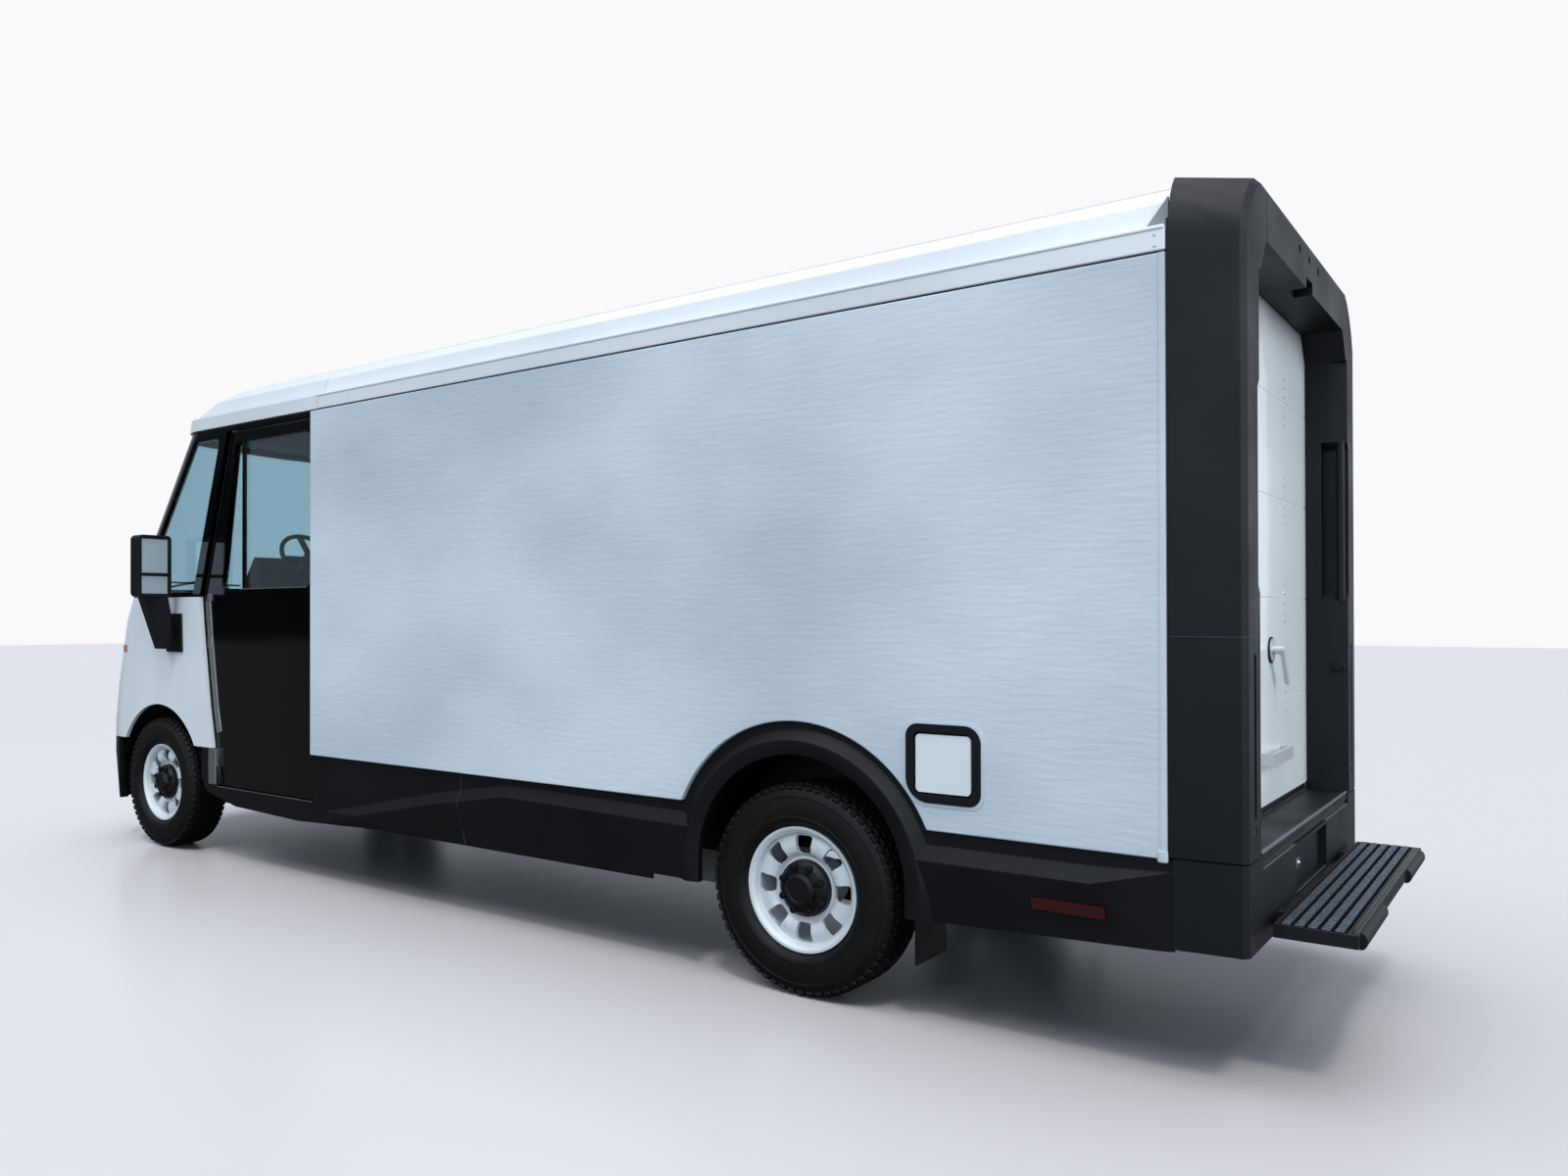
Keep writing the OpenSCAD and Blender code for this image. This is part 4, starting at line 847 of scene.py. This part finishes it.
ring = rod((HANDLE_X, DOOR_FACE + 0.0005, HANDLE_Z), (HANDLE_X, DOOR_FACE + 0.006, HANDLE_Z), 0.05, 48, 0.002)
carve(ring, rod((HANDLE_X, DOOR_FACE - 0.01, HANDLE_Z), (HANDLE_X, DOOR_FACE + 0.02, HANDLE_Z), 0.0425, 48))
publish(ring, "handle_seat_ring", trim_black)
publish(across(0.01, DOOR_FACE - 0.02, DOOR_FACE - 0.002, SILL + 0.0035, FOOT, 0.003),
        "shutter_bottom_seal", trim_black)
button = [rod((x0 - OPENING, BUTTON_Y, BUTTON_Z), (x1 - OPENING, BUTTON_Y, BUTTON_Z), radius, 32, 0.003)
          for x0, x1, radius in ((-0.004, 0.012, 0.022), (0.01, 0.022, 0.014))]
publish(join(button), "release_button", trim_black)


# ---------------------------------------------------------------- cab interior

def cushion(lo, hi, round_by):
    """Upholstered pad: a rounded block whose broad face swells and whose sides pull in."""
    obj = block(lo, hi, round_by, 4)
    in_edit(obj)
    bpy.ops.mesh.subdivide(number_cuts=3)
    out_of_edit()
    apply_modifier(obj, "CAST", cast_type="CUBOID", factor=0.06)
    apply_modifier(obj, "SMOOTH", factor=0.5, iterations=6)
    apply_modifier(obj, "SUBSURF", levels=1)
    return obj


SEAT_Y = FRONT_AXLE + 0.935     # front of the seat
for name, lo, hi in (("seat_cushion", (0.236, SEAT_Y + 0.006, 1.085), (0.724, SEAT_Y + 0.508, 1.208)),
                     ("seat_backrest", (0.246, SEAT_Y + 0.516, 1.1), (0.714, SEAT_Y + 0.626, 1.826)),
                     ("head_restraint", (0.345, SEAT_Y + 0.524, 1.835), (0.615, SEAT_Y + 0.6, 2.016))):
    pad = cushion(lo, hi, 0.035)
    publish(pad, name, seat_cloth)
pedestal = block((0.255, SEAT_Y + 0.024, low("driver_seat")[2]), (0.625, SEAT_Y + 0.466, 1.086), 0.01)
publish(pedestal, "seat_pedestal", interior, stands_for=("driver_seat",))
posts = [rod((x, SEAT_Y + 0.56, 1.8), (x, SEAT_Y + 0.56, 1.86), 0.007, 16) for x in (0.43, 0.53)]
publish(join(posts), "head_restraint_posts", sheet_alloy)

wheel_skin = node_copy("steering_wheel")
round_edges(wheel_skin, 0.004, 2, 50)
publish(wheel_skin, "steering_wheel_skin", interior, "steering", 45, ("steering_wheel",))
display = block((0.118, FRONT_AXLE + 0.4045, 1.6), (0.332, FRONT_AXLE + 0.4065, 1.782), 0.001)
publish(display, "centre_display", screen_glass)


# ---------------------------------------------------------------- stage, light and camera

FLOOR_PALE = "E4E0E2"
FLOOR_DULL = "5A5857"
# Name, strength, spread in degrees, the direction it shines from, and colour
LAMPS = (("high_sky", 2.1, 75, (0.12, -0.1, 1), "FBFCFF"),
         ("low_sun", 0.6, 8, (0.42, 0.3, 1), "FFFDF8"),
         ("sky_left", 1.6, 60, (1, 0.1, 0.45), "DCEBFA"),
         ("sky_rear", 3.1, 70, (0.05, 1, 0.3), "EEF5FC"))


def build_floor():
    bpy.ops.mesh.primitive_plane_add(size=120, location=(0, 0, 0))
    floor = bpy.context.object
    floor.name = "studio_floor"
    paint = new_material("studio_floor_paint", FLOOR_PALE, 0.3, Specular_IOR_Level=0.4)
    # Pale to the camera, dull as a yard to every bounced ray, so black faces stay black
    direct = add(paint, "ShaderNodeLightPath").outputs["Is Camera Ray"]
    tint(paint, direct, FLOOR_DULL, FLOOR_PALE, (0.0, 1.0))
    floor.data.materials.append(paint)
    return floor


def build_world():
    """Three skies: a soft one that lights, a split one that glossy faces reflect, a bright one that shows."""
    world = bpy.data.worlds.new("studio_world")
    bpy.context.scene.world = world
    world.use_nodes = True
    tree = world.node_tree
    soft = tree.nodes["Background"]
    soft.inputs["Color"].default_value = linear("D6E8FA")
    soft.inputs["Strength"].default_value = 0.37
    shown = add(world, "ShaderNodeBackground", {"Color": linear("F9F9FB")})
    # Reflected low down: a dark yard on the van's left, a bright backdrop on its right; even sky above them
    toward = add(world, "ShaderNodeSeparateXYZ",
                 links={"Vector": add(world, "ShaderNodeTexCoord").outputs["Generated"]})
    level = add(world, "ShaderNodeMapRange",
                {"From Min": -0.3, "From Max": 0.3, "To Min": 0.95, "To Max": 0.03},
                {"Value": toward.outputs["X"]})
    above = add(world, "ShaderNodeMapRange", {"From Min": 0.1, "From Max": 0.45},
                {"Value": toward.outputs["Z"]})
    strength = add(world, "ShaderNodeMix", {"B": 0.45},
                   {"Factor": above.outputs["Result"], "A": level.outputs["Result"]})
    seen = add(world, "ShaderNodeBackground", {"Color": linear("E2ECF6")},
               {"Strength": strength.outputs["Result"]})
    path = add(world, "ShaderNodeLightPath")
    through = add(world, "ShaderNodeMath", {"operation": "MAXIMUM"},
                  {0: path.outputs["Is Camera Ray"], 1: path.outputs["Is Transmission Ray"]})
    glossy = add(world, "ShaderNodeMixShader", links={
        "Fac": path.outputs["Is Glossy Ray"], 1: soft.outputs["Background"], 2: seen.outputs["Background"]})
    mix = add(world, "ShaderNodeMixShader", links={
        "Fac": through.outputs["Value"], 1: glossy.outputs["Shader"], 2: shown.outputs["Background"]})
    tree.links.new(mix.outputs["Shader"], tree.nodes["World Output"].inputs["Surface"])


def build_lamps(floor):
    # The sky lamps that light the upright faces leave the floor out, so its shadow stays soft and dark
    spared = bpy.data.collections.new("lit_from_above_only")
    spared.objects.link(floor)
    spared.collection_objects[0].light_linking.link_state = "EXCLUDE"
    for name, energy, spread, toward, colour in LAMPS:
        lamp = bpy.data.lights.new(name, "SUN")
        lamp.energy = energy
        lamp.angle = math.radians(spread)
        lamp.color = linear(colour)[:3]
        obj = bpy.data.objects.new(name, lamp)
        bpy.context.collection.objects.link(obj)
        obj.rotation_euler = Vector(toward).to_track_quat("Z", "Y").to_euler()
        if name.startswith("sky"):
            obj.light_linking.receiver_collection = spared


def build_camera():
    """The photograph's own viewpoint, from behind the van's left rear corner."""
    cam = bpy.data.cameras.new("camera")
    cam.sensor_width = 36.0
    cam.lens = 26.64
    cam.shift_x = 0.0723
    cam.shift_y = 0.0137
    obj = bpy.data.objects.new("camera", cam)
    bpy.context.collection.objects.link(obj)
    obj.location = (4.7027, 4.1855, 1.4235)
    obj.rotation_euler = (math.radians(90.38), math.radians(0.07), math.radians(128.26))
    bpy.context.scene.camera = obj


build_camera()
studio_floor = build_floor()
build_world()
build_lamps(studio_floor)
bpy.context.scene.view_settings.view_transform = "Standard"
